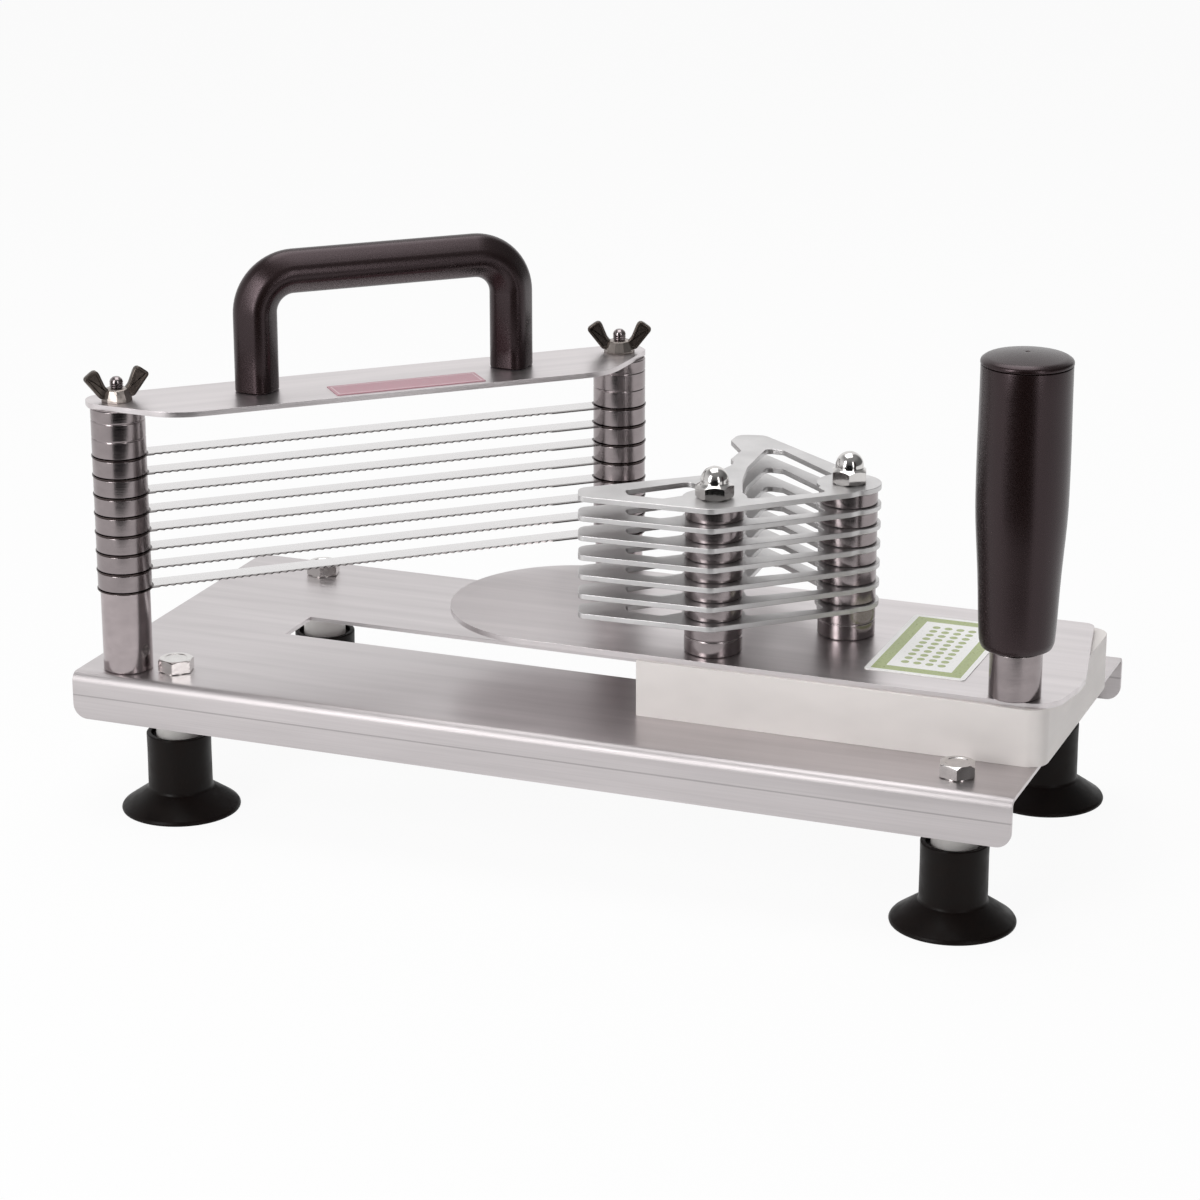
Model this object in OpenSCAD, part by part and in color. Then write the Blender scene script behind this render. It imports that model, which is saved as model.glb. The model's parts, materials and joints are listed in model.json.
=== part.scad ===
// Hand tomato slicer: a stack of thin serrated blades between two posts on a sheet-metal base,
// and a sliding carriage whose comb of pusher plates passes between the blades.
// Frame: X to the right along the slide, Y to the back, Z up. The origin is the middle of the
// bounding box, on the table. The carriage is drawn drawn-back, at the right end of its travel.

/* [Base tray] */
// Length of the base tray
base_l = 361; // [340:1:400]
// Width of the base tray, front flange to rear flange
base_w = 161; // [156:1:180]
// Thickness of the base sheet
base_t = 1.5; // [1:0.1:2.5]
// Height of the top of the base above the table
base_top_h = 54.3; // [48:0.1:62]
// Height of the front and rear flanges
flange_h = 17.7; // [12:0.1:22]
// Outer radius of the flange bends
bend_r = 3.4; // [2.6:0.1:5]
// Radius of the lower corners of the flanges
flange_corner_r = 5.5; // [3:0.5:9]
// Distance from the right end of the base to the slot
slot_inset_right = 23; // [18:0.5:30]
// Width of the guide slot
slot_w = 22; // [16:0.5:28]
// Distance from the left end of the base to the slot
slot_inset = 54.5; // [46:0.5:58]

/* [Feet] */
// Distance of the left feet from the left end of the base
foot_inset_left = 35; // [24:0.5:50]
// Distance of the right feet from the right end of the base
foot_inset_right = 24; // [16:0.5:40]
// Distance of the feet from the front and rear faces of the base
foot_inset_side = 16.8; // [14:0.1:18]
// Diameter of the rim of a suction cup
cup_rim_d = 44.8; // [38:0.2:52]
// Diameter of the body of a suction cup
cup_body_d = 24.2; // [21:0.2:28]
// Height of a suction cup
cup_h = 30.3; // [26:0.1:34]
// Height of the flared skirt of a suction cup
cup_skirt_h = 9.6; // [7:0.1:12]
// Diameter of a spacer sleeve between base and cup
sleeve_d = 16.8; // [13:0.2:19]
// Diameter of the foot bolts
foot_bolt_d = 8; // [6:0.5:8]
// Width across the flats of the foot bolt heads
foot_bolt_w = 12; // [10:0.5:14]
// Height of the foot bolt heads
foot_bolt_head_h = 5; // [4:0.1:6.5]

/* [Blade frame] */
// Distance of the posts from the front and rear faces of the base
post_inset = 13.43; // [12:0.01:16]
// Angle between the row of blades and the length of the base
frame_angle = 42.7; // [41:0.1:44]
// Distance of the front post from the left end of the base
post_end_inset = 16.72; // [15:0.01:18]
// Height of the lower posts
post_h = 31.4; // [29:0.1:36]
// Diameter of the lower posts
post_d = 18.4; // [14:0.2:19.6]
// Diameter of the spacer rings between the blades
spacer_d = 20; // [16:0.2:22]
// Height of a spacer ring, which is the gap between two blades
spacer_h = 6.8; // [6:0.1:8]
// Height of the short spacer ring under the bridge
top_spacer_h = 4.7; // [3:0.1:7]
// Diameter of the two long studs
stud_d = 5; // [4:0.5:6]
// Thickness of a blade
blade_t = 0.5; // [0.3:0.1:0.8]
// Width of a blade
blade_w = 10; // [8:0.5:12]
// Distance from tooth to tooth along a blade
tooth_pitch = 2.9; // [2:0.1:4]
// Depth of the teeth
tooth_depth = 1.3; // [0.6:0.1:2]
// Diameter of the round eyes at the ends of a blade
eye_d = 20.6; // [18:0.1:22]

/* [Bridge] */
// Width of the bridge plate
bridge_w = 37; // [34:0.5:44]
// Thickness of the bridge plate
bridge_t = 2; // [1.5:0.1:3]
// Distance from the line of the posts to the rear edge of the bridge
bridge_back = 10.8; // [10.2:0.1:13]
// Distance from a post to the end of the bridge
bridge_end = 10.8; // [10.2:0.1:16]
// Distance from a post to the cut-off front corner of the bridge
bridge_corner = 8.4; // [7:0.1:10]
// Tip-to-tip width of a wing nut
wing_span = 25; // [22:0.5:30]
// Height of a wing nut
wing_h = 12; // [10:0.5:15]
// Diameter of the foot of a wing nut
wing_hub_d = 11.8; // [10:0.2:13]
// Thickness of a wing
wing_t = 2.8; // [2:0.1:4]

/* [Carry handle] */
// Distance between the legs of the carry handle
handle_span = 100; // [92:1:112]
// Height of the carry handle above the bridge
handle_h = 52; // [46:0.5:60]
// Side of the square section of the handle bar, which stands on edge
handle_side = 13.8; // [12:0.1:16]
// Radius of the edges of the handle bar
handle_edge_r = 3.5; // [2:0.1:5]
// Outer radius of the handle corners
handle_corner_r = 23; // [20:0.5:28]
// Distance of the handle from the middle of the frame, along it
handle_shift = 3; // [0:0.5:5]
// Distance of the handle in front of the line of the posts
handle_front = 4.5; // [3:0.5:7]

/* [Carriage] */
// Gap left between the pusher rings and the blades at the end of the stroke
end_gap = 2.24; // [1.5:0.01:6]
// Length of the slide block
block_l = 150.7; // [148:0.1:154]
// Distance of the slide block from the front and rear faces of the base
block_inset = 32.5; // [31:0.5:36]
// Height of the slide block
block_h = 21; // [19.5:0.1:22]
// How far the slide block stands past the right end of the base
block_overhang = 2.3; // [0:0.1:4]
// Radius of the right corners of the slide block
block_corner_r = 7; // [3:0.5:10]
// Length of the slide plate
plate_l = 245.5; // [236:0.5:254]
// Distance of the slide plate from the front and rear faces of the slide block
plate_inset = 1.5; // [1:0.1:3]
// Thickness of the slide plate
plate_t = 2; // [1.5:0.1:2.5]
// How far the tip of the slide plate stands past the right end of the base
plate_overhang = 8; // [4:0.5:10]
// Thickness of the retainer under the base
retainer_t = 2; // [1.5:0.1:3]
// Width of the retainer under the base
retainer_w = 42; // [36:1:50]
// Diameter of the retainer screws
retainer_screw_d = 5; // [4:0.5:6]

/* [Pusher] */
// Distance between the two pusher posts
pusher_span = 52.8; // [50:0.2:54]
// Distance of the front pusher post from the left end of the slide block
pusher_inset = 23.6; // [22:0.1:26]
// Distance of the front pusher post from the front face of the slide block
pusher_side = 16.3; // [15:0.1:18]
// Thickness of a pusher plate
pusher_t = 2; // [1.5:0.1:2.4]
// Diameter of the spacer rings between the pusher plates
pusher_ring_d = 21; // [17:0.2:22]
// Diameter of the pusher studs
pusher_stud_d = 8; // [6:0.5:8]
// Width across the flats of the cap nuts and lock nuts
nut_w = 12; // [11.5:0.5:14]
// Height of the hexagon of a cap nut
cap_nut_hex_h = 5.5; // [4.5:0.1:7]
// Height of a whole cap nut
cap_nut_h = 11.5; // [10.7:0.1:14]

/* [Push grip] */
// Largest diameter of the grip
grip_d = 32; // [28:0.5:33]
// Diameter of the grip at its lower end
grip_low_d = 26.2; // [24:0.2:28]
// Height of the grip without its cap
grip_h = 101; // [90:0.5:115]
// Height of the dome of the grip cap
grip_dome_h = 4.4; // [3:0.1:6]
// Diameter of the collar under the grip
collar_d = 18.4; // [15:0.2:20]
// Height of the collar under the grip
collar_h = 17; // [12:0.5:22]
// Diameter of the grip spindle
spindle_d = 8; // [6:0.5:9]
// Distance of the grip from the right end of the slide block
grip_inset = 13.3; // [12.5:0.1:16]
// Distance of the grip from the front face of the slide block
grip_side = 8.6; // [8:0.1:12]

/* [Labels] */
// Length of the label on the bridge
bridge_label_l = 58; // [40:1:66]
// Width of the label on the bridge
bridge_label_w = 13.4; // [8:0.2:14]
// Length of the label on the slide plate, front to back
slide_label_l = 65; // [40:1:70]
// Width of the label on the slide plate
slide_label_w = 37; // [20:1:38]

/* [Hidden] */

// Finish colours
steel = "#c9c8c7";
dark_steel = "#5b5654";
black_plastic = "#352f31";
rubber = "#2a2220";
white_plastic = "#ebe7e4";
chrome = "#dcdcdc";

// Smoothness of round pieces and of rounded corners
$fn = 64;
corner_steps = 6;
// Overrun of every cut
over = 1;
// Clearance round a bolt or stud that is fixed in its hole
fixed_gap = 0.1;
// Radial clearance round a shaft that turns
turn_gap = 0.05;
// Gap between faces that pass or turn over each other
face_gap = 0.3;
// Chamfer of rings and nuts, and of the rims of screw heads
chamfer = 0.4;
head_edge = 1;
// Corner radius of a hexagon against its width across the flats
hex_share = 1 / sqrt(3);

// The whole slicer along X
overall_l = base_l + plate_overhang;
base_left = -overall_l / 2;
base_right = base_left + base_l;
block_right = base_right + block_overhang;
block_left = block_right - block_l;
block_w = base_w - 2 * block_inset;
plate_w = block_w - 2 * plate_inset;
plate_right = base_right + plate_overhang;
plate_left = plate_right - plate_l;
slot_left = base_left + slot_inset;
slot_right = base_right - slot_inset_right;
slot_l = slot_right - slot_left;

// Levels above the table
top_z = base_top_h;
under_z = top_z - base_t;
block_top_z = top_z + block_h;
plate_top_z = block_top_z + plate_t;

// Blade stack
blade_count = 8;
gap_count = blade_count - 1;
blade_pitch = spacer_h + blade_t;
blade_z0 = top_z + post_h;
blade_top_z = blade_z0 + blade_pitch * gap_count + blade_t;
plain_rings = 2;
bridge_z = blade_top_z + plain_rings * spacer_h + top_spacer_h;
bridge_top_z = bridge_z + bridge_t;
half_span = (base_w / 2 - post_inset) / sin(frame_angle);
frame_x = base_left + post_end_inset + half_span * cos(frame_angle);
post_span = 2 * half_span;
// Last stretch of a blade, at the rear post, that has no teeth
plain_end = 29;
// First stretch of a blade, at the front post, that has no teeth
plain_start = 11.5;
stud_nut_w = 8;
stud_nut_h = 4;
stud_tip = 9;
stud_below = 1.5;

// Feet: left and right, front and rear
foot_x = [base_left + foot_inset_left, base_right - foot_inset_right];
foot_y = base_w / 2 - foot_inset_side;
// Depth of the recess that the sleeve stands in, and of the bolt in the cup
cup_recess = 2;
cup_wall = 1.9;
bolt_in_cup = 13;
// How far the bolt heads are turned
foot_bolt_turn = 44;
// Lip of the cup: its height and the width of its flat ring
cup_lip_h = 1.4;
cup_lip_w = 1.8;
// Hollow under the cup
cup_hollow_h = 5.5;
cup_roof_d = 13;
// Waist of the skirt, as shares of its width and height
cup_waist_shares = [0.55, 0.58];

// Bridge: radii of its corners
bridge_front_r = 24;
bridge_tip_r = 5;
bridge_rear_r = 7;

// Screws of the carry handle: diameter, depth in the leg, and the head
handle_screw_d = 6;
handle_screw_in = 14;
handle_screw_head_d = 12;
handle_screw_head_h = 3.3;

// Wing nut: one wing as shares of half the span and of the height with corner radii, the
// neck of the foot, and how far each nut is turned from the line of the posts
wing_shares = [[0.10, 0.06, 0.02], [0.50, 0.06, 0.10], [1.00, 0.66, 0.06], [0.92, 0.86, 0.10],
    [0.70, 1.00, 0.10], [0.52, 0.90, 0.10], [0.34, 0.48, 0.06], [0.10, 0.48, 0.02]];
wing_neck_r = 4.5;
wing_foot_h = 1.2;
wing_hub_h = 6.2;
wing_turn_front = 4;
wing_turn_rear = -22;

// Front pusher post, and the travel that brings its rings up to the blades
pusher_x = block_left + pusher_inset;
pusher_y = pusher_side - block_w / 2;
travel = pusher_x - frame_x - pusher_y / tan(frame_angle)
    - (pusher_ring_d / 2 + blade_w / 2 + end_gap) / sin(frame_angle);

// Carriage guide
stop_gap = 1;
key_l = slot_l - travel - 2 * stop_gap;
key_right = slot_right - stop_gap;
key_w = slot_w - 2 * face_gap;
key_z = under_z - face_gap;
retainer_z = key_z - retainer_t;
screw_head_d = 9.4;
screw_head_h = 3;
screw_depth = 13;
screw_shares = [0.1, 0.28, 0.72, 0.9];

// Slide plate: how far its rear and front corners lie inside the tip, and the ends of the
// tip as shares of half the width
plate_rear_slant = 11.5;
plate_front_slant = 3.5;
plate_tip_shares = [-0.5, -0.3];
plate_corner_r = 4;
plate_tip_r = 12;

// Pusher: its outline and windows as shares of the distance between its posts,
// measured from the front post along and across the row of posts, with corner radii
pusher_outline_shares = [
    [-0.77, 0.55, 0.08], [-0.85, 0.36, 0.06], [-0.13, -0.26, 0.10], [0.92, -0.24, 0.13],
    [1.12, -0.16, 0.13], [1.18, -0.02, 0.10], [0.95, 1.30, 0.09], [0.78, 1.39, 0.08],
    [0.67, 1.27, 0.04], [0.63, 0.99, 0.08], [0.55, 0.91, 0.08], [0.43, 0.69, 0.15],
    [0.19, 0.52, 0.11]];
front_window_shares = [
    [-0.50, 0.38, 0.04], [-0.52, 0.27, 0.04], [-0.34, 0.10, 0.06], [-0.09, 0.13, 0.04],
    [0.04, 0.41, 0.06]];
rear_window_shares = [
    [0.82, 0.98, 0.05], [0.91, 0.89, 0.05], [0.98, 0.23, 0.04], [0.75, -0.04, 0.04],
    [0.76, -0.16, 0.04], [0.16, -0.11, 0.06], [0.34, 0.31, 0.11], [0.50, 0.59, 0.11]];
pusher_z0 = blade_z0 + blade_t + (spacer_h - pusher_t) / 2;
pusher_top_z = pusher_z0 + (gap_count - 1) * blade_pitch + pusher_t;
ring_h = blade_pitch - pusher_t;
foot_ring_h = pusher_z0 - ring_h - plate_top_z;
pad_margin = 1.2;
// How far each cap nut is turned from the line of the pusher posts
cap_turn_front = -23;
cap_turn_rear = 4;
lock_nut_h = 6.5;
lock_pocket_d = 17;
lock_pocket_h = 8.5;

// Grip
grip_x = block_right - grip_inset;
grip_y = grip_side - block_w / 2;
grip_z = plate_top_z + collar_h + face_gap;
grip_top_z = grip_z + grip_h;
grip_pocket_d = 17;
grip_pocket_h = 9;
spindle_head_d = 13;
spindle_head_h = 3;
spindle_in_block = 16;
grip_edge_r = 3;
cap_plug_h = 2;
// Side of the grip: height shares against shares of the largest radius
grip_shares = [[0.07, 0.838], [0.16, 0.865], [0.28, 0.904], [0.40, 0.957], [0.50, 0.992],
    [0.65, 1], [0.82, 0.99], [1, 0.984]];
// How far the rim of the cap stands proud of the grip
cap_rim = 0.15;

// Labels
label_t = 0.25;
bridge_label_u = 7;
bridge_label_v = -16.8;
// Distance of the slide label from the right end of the slide block
slide_label_inset = 51.8;
slide_label_r = 1.5;

// Direction of a vector
function unit(v) = v / norm(v);
// Angle a brought between -180 and 180 degrees
function turn(a) = a > 180 ? a - 360 : a < -180 ? a + 360 : a;
// Arc that rounds the corner p1 between its neighbours p0 and p2
function corner(p0, p1, p2, r) = let(
    a = unit(p0 - p1),
    b = unit(p2 - p1),
    half = acos(a * b) / 2,
    c = p1 + unit(a + b) * (r / sin(half)),
    s = p1 + a * (r / tan(half)) - c,
    e = p1 + b * (r / tan(half)) - c,
    a0 = atan2(s[1], s[0]),
    da = turn(atan2(e[1], e[0]) - a0))
    [for (i = [0 : corner_steps]) c + r * [cos(a0 + da * i / corner_steps),
        sin(a0 + da * i / corner_steps)]];
// Outline through rows of [x, y, radius], each corner rounded to its radius
function rounded(rows) = let(n = len(rows), p = [for (q = rows) [q[0], q[1]]])
    [for (i = [0 : n - 1]) for (q = corner(p[(i + n - 1) % n], p[i], p[(i + 1) % n],
        rows[i][2])) q];
// Rectangle with rounded corners, centred
function rounded_box(l, w, r) = rounded([[-l, -w, 2 * r] / 2, [l, -w, 2 * r] / 2,
    [l, w, 2 * r] / 2, [-l, w, 2 * r] / 2]);

// Places
module at_frame() {
    translate([frame_x, 0, 0]) rotate(frame_angle) children();
}
module at_front_post() {
    at_frame() translate([-half_span, 0, 0]) children();
}
module at_rear_post() {
    at_frame() translate([half_span, 0, 0]) children();
}
module at_pusher() {
    translate([pusher_x, pusher_y, 0]) rotate(frame_angle) children();
}
module at_rear_pusher() {
    at_pusher() translate([pusher_span, 0, 0]) children();
}
module at_pusher_posts(z) {
    for (u = [0, pusher_span]) {
        at_pusher() translate([u, 0, z]) children();
    }
}
module at_retainer_screws(z) {
    for (share = screw_shares) {
        translate([key_right - key_l * share, 0, z]) children();
    }
}
module at_grip() {
    translate([grip_x, grip_y, 0]) children();
}
module handle_places() {
    for (side = [-1, 1]) {
        at_frame() translate([handle_shift + side * handle_span / 2, -handle_front, 0])
            children();
    }
}

// Shared shapes
// Ring with chamfered rims, standing on z = 0
module ring(d, bore, h) {
    rotate_extrude() polygon([[bore / 2, 0], [d / 2 - chamfer, 0], [d / 2, chamfer],
        [d / 2, h - chamfer], [d / 2 - chamfer, h], [bore / 2, h]]);
}
// Hexagon prism with turned corners, standing on z = 0
module hexagon(w, h) {
    corner_r = w * hex_share;
    intersection() {
        cylinder(h = h, r = corner_r, $fn = 6);
        rotate_extrude() polygon([[0, 0], [corner_r - chamfer, 0], [corner_r, chamfer],
            [corner_r, h - chamfer], [w / 2 - chamfer / 2, h], [0, h]]);
    }
}
// Hexagon nut with a bore
module hex_nut(w, bore, h) {
    difference() {
        hexagon(w, h);
        translate([0, 0, -over]) cylinder(h = h + 2 * over, d = bore);
    }
}
// Pan-head screw with its head below z = 0 and its shank above
module screw_up(d, l, head_d, head_h) {
    rotate_extrude() polygon([[0, -head_h], [head_d / 2 - head_edge, -head_h],
        [head_d / 2, head_edge - head_h], [head_d / 2, 0], [d / 2, 0], [d / 2, l - chamfer],
        [d / 2 - chamfer, l], [0, l]]);
}

// Base tray
// Section across the tray: the flat top, and two flanges with their bends
module tray_section() {
    inner_r = bend_r - base_t;
    half = base_w / 2;
    translate([-half + bend_r, -base_t]) square([base_w - 2 * bend_r, base_t]);
    for (side = [-1, 1]) {
        scale([side, 1]) {
            translate([half - base_t, -flange_h]) square([base_t, flange_h - bend_r]);
            translate([half - bend_r, -bend_r]) intersection() {
                difference() {
                    circle(r = bend_r);
                    circle(r = inner_r);
                }
                square(bend_r);
            }
        }
    }
}
// Waste outside the rounded lower corner of both flanges, at the left end of the tray
module flange_corner_cut() {
    r = flange_corner_r;
    difference() {
        translate([-over, -over, 0]) cube([r + over, r + over, base_w + 2 * over]);
        translate([r, r, -over]) cylinder(r = r, h = base_w + 4 * over);
    }
}
module base_tray() {
    color(steel) difference() {
        translate([base_left, 0, top_z]) rotate([90, 0, 90]) linear_extrude(base_l)
            tray_section();
        for (side = [0, 1]) {
            translate([side ? base_right : base_left, base_w / 2 + over, top_z - flange_h])
                scale([side ? -1 : 1, 1, 1]) rotate([90, 0, 0]) flange_corner_cut();
        }
        translate([slot_left, -slot_w / 2, under_z - over])
            cube([slot_l, slot_w, base_t + 2 * over]);
        for (x = foot_x, y = [-foot_y, foot_y]) {
            translate([x, y, under_z - over])
                cylinder(h = base_t + 2 * over, d = foot_bolt_d + 2 * fixed_gap);
        }
        at_front_post() stud_hole(under_z, base_t);
        at_rear_post() stud_hole(under_z, base_t);
    }
}
// Clearance hole for a long stud through a plate from z on
module stud_hole(z, t) {
    translate([0, 0, z - over]) cylinder(h = t + 2 * over, d = stud_d + 2 * fixed_gap);
}

// Feet
module at_foot(right, rear) {
    translate([foot_x[right], rear ? foot_y : -foot_y, 0]) children();
}
module cup() {
    rim_r = cup_rim_d / 2;
    body_r = cup_body_d / 2;
    recess_r = body_r - cup_wall;
    bolt_r = foot_bolt_d / 2 + fixed_gap;
    floor_z = cup_h - cup_recess;
    color(rubber) rotate_extrude() polygon([
        [0, cup_hollow_h], [cup_roof_d / 2, cup_hollow_h],
        [rim_r - cup_lip_w - cup_lip_h, cup_lip_h],
        [rim_r - cup_lip_w, 0], [rim_r, 0], [rim_r, cup_lip_h],
        [body_r + (rim_r - body_r) * cup_waist_shares[0], cup_skirt_h * cup_waist_shares[1]],
        [body_r + chamfer, cup_skirt_h], [body_r, cup_skirt_h + chamfer],
        [body_r, cup_h - chamfer], [body_r - chamfer, cup_h], [recess_r, cup_h],
        [recess_r, floor_z], [bolt_r, floor_z],
        [bolt_r, floor_z - bolt_in_cup - chamfer], [0, floor_z - bolt_in_cup - chamfer]]);
}
module sleeve() {
    z = cup_h - cup_recess;
    color(white_plastic) translate([0, 0, z])
        ring(sleeve_d, foot_bolt_d + 2 * fixed_gap, under_z - z);
}
module foot_bolt() {
    end_z = cup_h - cup_recess - bolt_in_cup;
    color(chrome) {
        translate([0, 0, top_z]) rotate(foot_bolt_turn) hexagon(foot_bolt_w, foot_bolt_head_h);
        translate([0, 0, end_z]) cylinder(h = top_z - end_z, d = foot_bolt_d);
    }
}

// Blade frame
module lower_post() {
    color(steel) translate([0, 0, top_z]) ring(post_d, stud_d + 2 * fixed_gap, post_h);
}
module stud() {
    z0 = under_z - stud_nut_h - stud_below;
    z1 = bridge_top_z + stud_tip;
    r = stud_d / 2;
    color(steel) {
        translate([0, 0, z0]) cylinder(h = z1 - r - z0, r = r);
        translate([0, 0, z1 - r]) sphere(r = r);
    }
}
module spacer_stack() {
    bore = stud_d + 2 * fixed_gap;
    color(steel) {
        for (i = [0 : gap_count - 1]) {
            translate([0, 0, blade_z0 + blade_t + i * blade_pitch]) ring(spacer_d, bore, spacer_h);
        }
        for (i = [0 : plain_rings - 1]) {
            translate([0, 0, blade_top_z + i * spacer_h]) ring(spacer_d, bore, spacer_h);
        }
        translate([0, 0, bridge_z - top_spacer_h]) ring(spacer_d, bore, top_spacer_h);
    }
}
module blade(k) {
    first = -half_span + plain_start;
    teeth = floor((post_span - plain_start - plain_end) / tooth_pitch);
    last = first + teeth * tooth_pitch;
    front = -blade_w / 2;
    toothed_edge = [for (i = [0 : teeth - 1]) each [[first + i * tooth_pitch, front],
        [first + (i + 0.5) * tooth_pitch, front + tooth_depth]]];
    color(steel) at_frame() translate([0, 0, blade_z0 + (k - 1) * blade_pitch]) difference() {
        union() {
            linear_extrude(blade_t) polygon(concat([[-half_span, front]], toothed_edge,
                [[last, front], [half_span, front], [half_span, blade_w / 2],
                [-half_span, blade_w / 2]]));
            for (u = [-half_span, half_span]) {
                translate([u, 0, 0]) cylinder(h = blade_t, d = eye_d);
            }
        }
        for (u = [-half_span, half_span]) {
            translate([u, 0, 0]) stud_hole(0, blade_t);
        }
    }
}
module stud_nuts() {
    color(steel) for (u = [-half_span, half_span]) {
        at_frame() translate([u, 0, under_z - stud_nut_h])
            hex_nut(stud_nut_w, stud_d + 2 * fixed_gap, stud_nut_h);
    }
}

// Bridge and carry handle
module bridge_plate() {
    end_u = half_span + bridge_end;
    front_v = bridge_back - bridge_w;
    cut = half_span + bridge_corner * sqrt(2);
    tip_v = end_u - cut;
    front_u = cut + front_v;
    outline = [
        [-end_u, bridge_back, bridge_rear_r], [-end_u, tip_v, bridge_tip_r],
        [-front_u, front_v, bridge_front_r], [front_u, front_v, bridge_front_r],
        [end_u, tip_v, bridge_tip_r], [end_u, bridge_back, bridge_rear_r]];
    color(steel) difference() {
        at_frame() translate([0, 0, bridge_z]) linear_extrude(bridge_t)
            polygon(rounded(outline));
        at_front_post() stud_hole(bridge_z, bridge_t);
        at_rear_post() stud_hole(bridge_z, bridge_t);
        handle_places() translate([0, 0, bridge_z - over])
            cylinder(h = bridge_t + 2 * over, d = handle_screw_d + 2 * fixed_gap);
    }
}
// Section of the handle bar: a square with rounded edges, turned so that one edge faces front
module handle_section() {
    rotate(45) polygon(rounded_box(handle_side, handle_side, handle_edge_r));
}
module carry_handle() {
    half_t = (handle_side / 2 - handle_edge_r) * sqrt(2) + handle_edge_r;
    bend = handle_corner_r - half_t;
    leg_h = handle_h - handle_corner_r;
    bar_l = handle_span - 2 * bend;
    color(black_plastic) at_frame() translate([handle_shift, -handle_front, bridge_top_z]) {
        translate([-bar_l / 2, 0, handle_h - half_t]) rotate([0, 90, 0])
            linear_extrude(bar_l) handle_section();
        for (side = [0, 1]) {
            rotate(180 * side) {
                difference() {
                    translate([handle_span / 2, 0, 0]) linear_extrude(leg_h) handle_section();
                    translate([handle_span / 2, 0, -over])
                        cylinder(h = handle_screw_in + over, d = handle_screw_d + 2 * fixed_gap);
                }
                translate([bar_l / 2, 0, leg_h]) rotate([90, 0, 0])
                    rotate_extrude(angle = 90) translate([bend, 0]) handle_section();
            }
        }
    }
}
module handle_screws() {
    color(steel) handle_places() translate([0, 0, bridge_z])
        screw_up(handle_screw_d, bridge_t + handle_screw_in - over, handle_screw_head_d,
            handle_screw_head_h);
}

// Wing nuts
module wing_nut() {
    half = wing_span / 2;
    bore = stud_d + 2 * turn_gap;
    color(dark_steel) translate([0, 0, bridge_top_z]) difference() {
        union() {
            rotate_extrude() polygon([[0, 0], [wing_hub_d / 2 - chamfer, 0],
                [wing_hub_d / 2, chamfer], [wing_hub_d / 2, wing_foot_h],
                [wing_neck_r, wing_hub_h - chamfer], [wing_neck_r - chamfer, wing_hub_h],
                [0, wing_hub_h]]);
            for (side = [0, 1]) {
                rotate(180 * side) rotate([90, 0, 0]) translate([0, 0, -wing_t / 2])
                    linear_extrude(wing_t) polygon(rounded([for (q = wing_shares)
                        [q[0] * half, q[1] * wing_h, q[2] * wing_h]]));
            }
        }
        translate([0, 0, -over]) cylinder(h = wing_h + 2 * over, d = bore);
    }
}

// Carriage
module plate_outline() {
    half = plate_w / 2;
    centre = plate_left + half;
    corner_rows = [
        [centre, -half, 0], [plate_right - plate_front_slant, -half, plate_tip_r],
        [plate_right, plate_tip_shares[0] * half, plate_tip_r],
        [plate_right, plate_tip_shares[1] * half, plate_tip_r],
        [plate_right - plate_rear_slant, half, plate_corner_r], [centre, half, 0]];
    translate([centre, 0]) circle(d = plate_w);
    polygon(rounded(corner_rows));
}
module slide_plate() {
    color(steel) difference() {
        translate([0, 0, block_top_z]) linear_extrude(plate_t) plate_outline();
        at_pusher_posts(block_top_z - over) cylinder(h = plate_t + 2 * over,
            d = pusher_stud_d + 2 * fixed_gap);
        at_grip() translate([0, 0, block_top_z - over]) cylinder(h = plate_t + 2 * over,
            d = spindle_d + 2 * fixed_gap);
    }
}
module slide_block() {
    half = block_w / 2;
    color(white_plastic) difference() {
        translate([0, 0, top_z]) linear_extrude(block_h) polygon(rounded([
            [block_left, -half, chamfer], [block_right, -half, block_corner_r],
            [block_right, half, block_corner_r], [block_left, half, chamfer]]));
        at_pusher_posts(top_z - over) {
            cylinder(h = block_h + 2 * over, d = pusher_stud_d + 2 * fixed_gap);
            cylinder(h = lock_pocket_h + over, d = lock_pocket_d);
        }
        at_grip() translate([0, 0, block_top_z - spindle_in_block])
            cylinder(h = spindle_in_block + over, d = spindle_d + 2 * fixed_gap);
        at_retainer_screws(top_z - over) cylinder(h = screw_depth + over + chamfer,
            d = retainer_screw_d + 2 * fixed_gap);
    }
}
module guide_key() {
    color(white_plastic) difference() {
        translate([key_right - key_l, -key_w / 2, key_z]) cube([key_l, key_w, top_z - key_z]);
        at_retainer_screws(key_z - over) cylinder(h = top_z - key_z + 2 * over,
            d = retainer_screw_d + 2 * fixed_gap);
    }
}
module retainer_plate() {
    color(steel) difference() {
        translate([key_right - key_l / 2, 0, retainer_z]) linear_extrude(retainer_t)
            polygon(rounded_box(key_l, retainer_w, retainer_t));
        at_retainer_screws(retainer_z - over) cylinder(h = retainer_t + 2 * over,
            d = retainer_screw_d + 2 * fixed_gap);
    }
}
module retainer_screws() {
    color(steel) at_retainer_screws(retainer_z)
        screw_up(retainer_screw_d, top_z - retainer_z + screw_depth, screw_head_d, screw_head_h);
}

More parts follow.
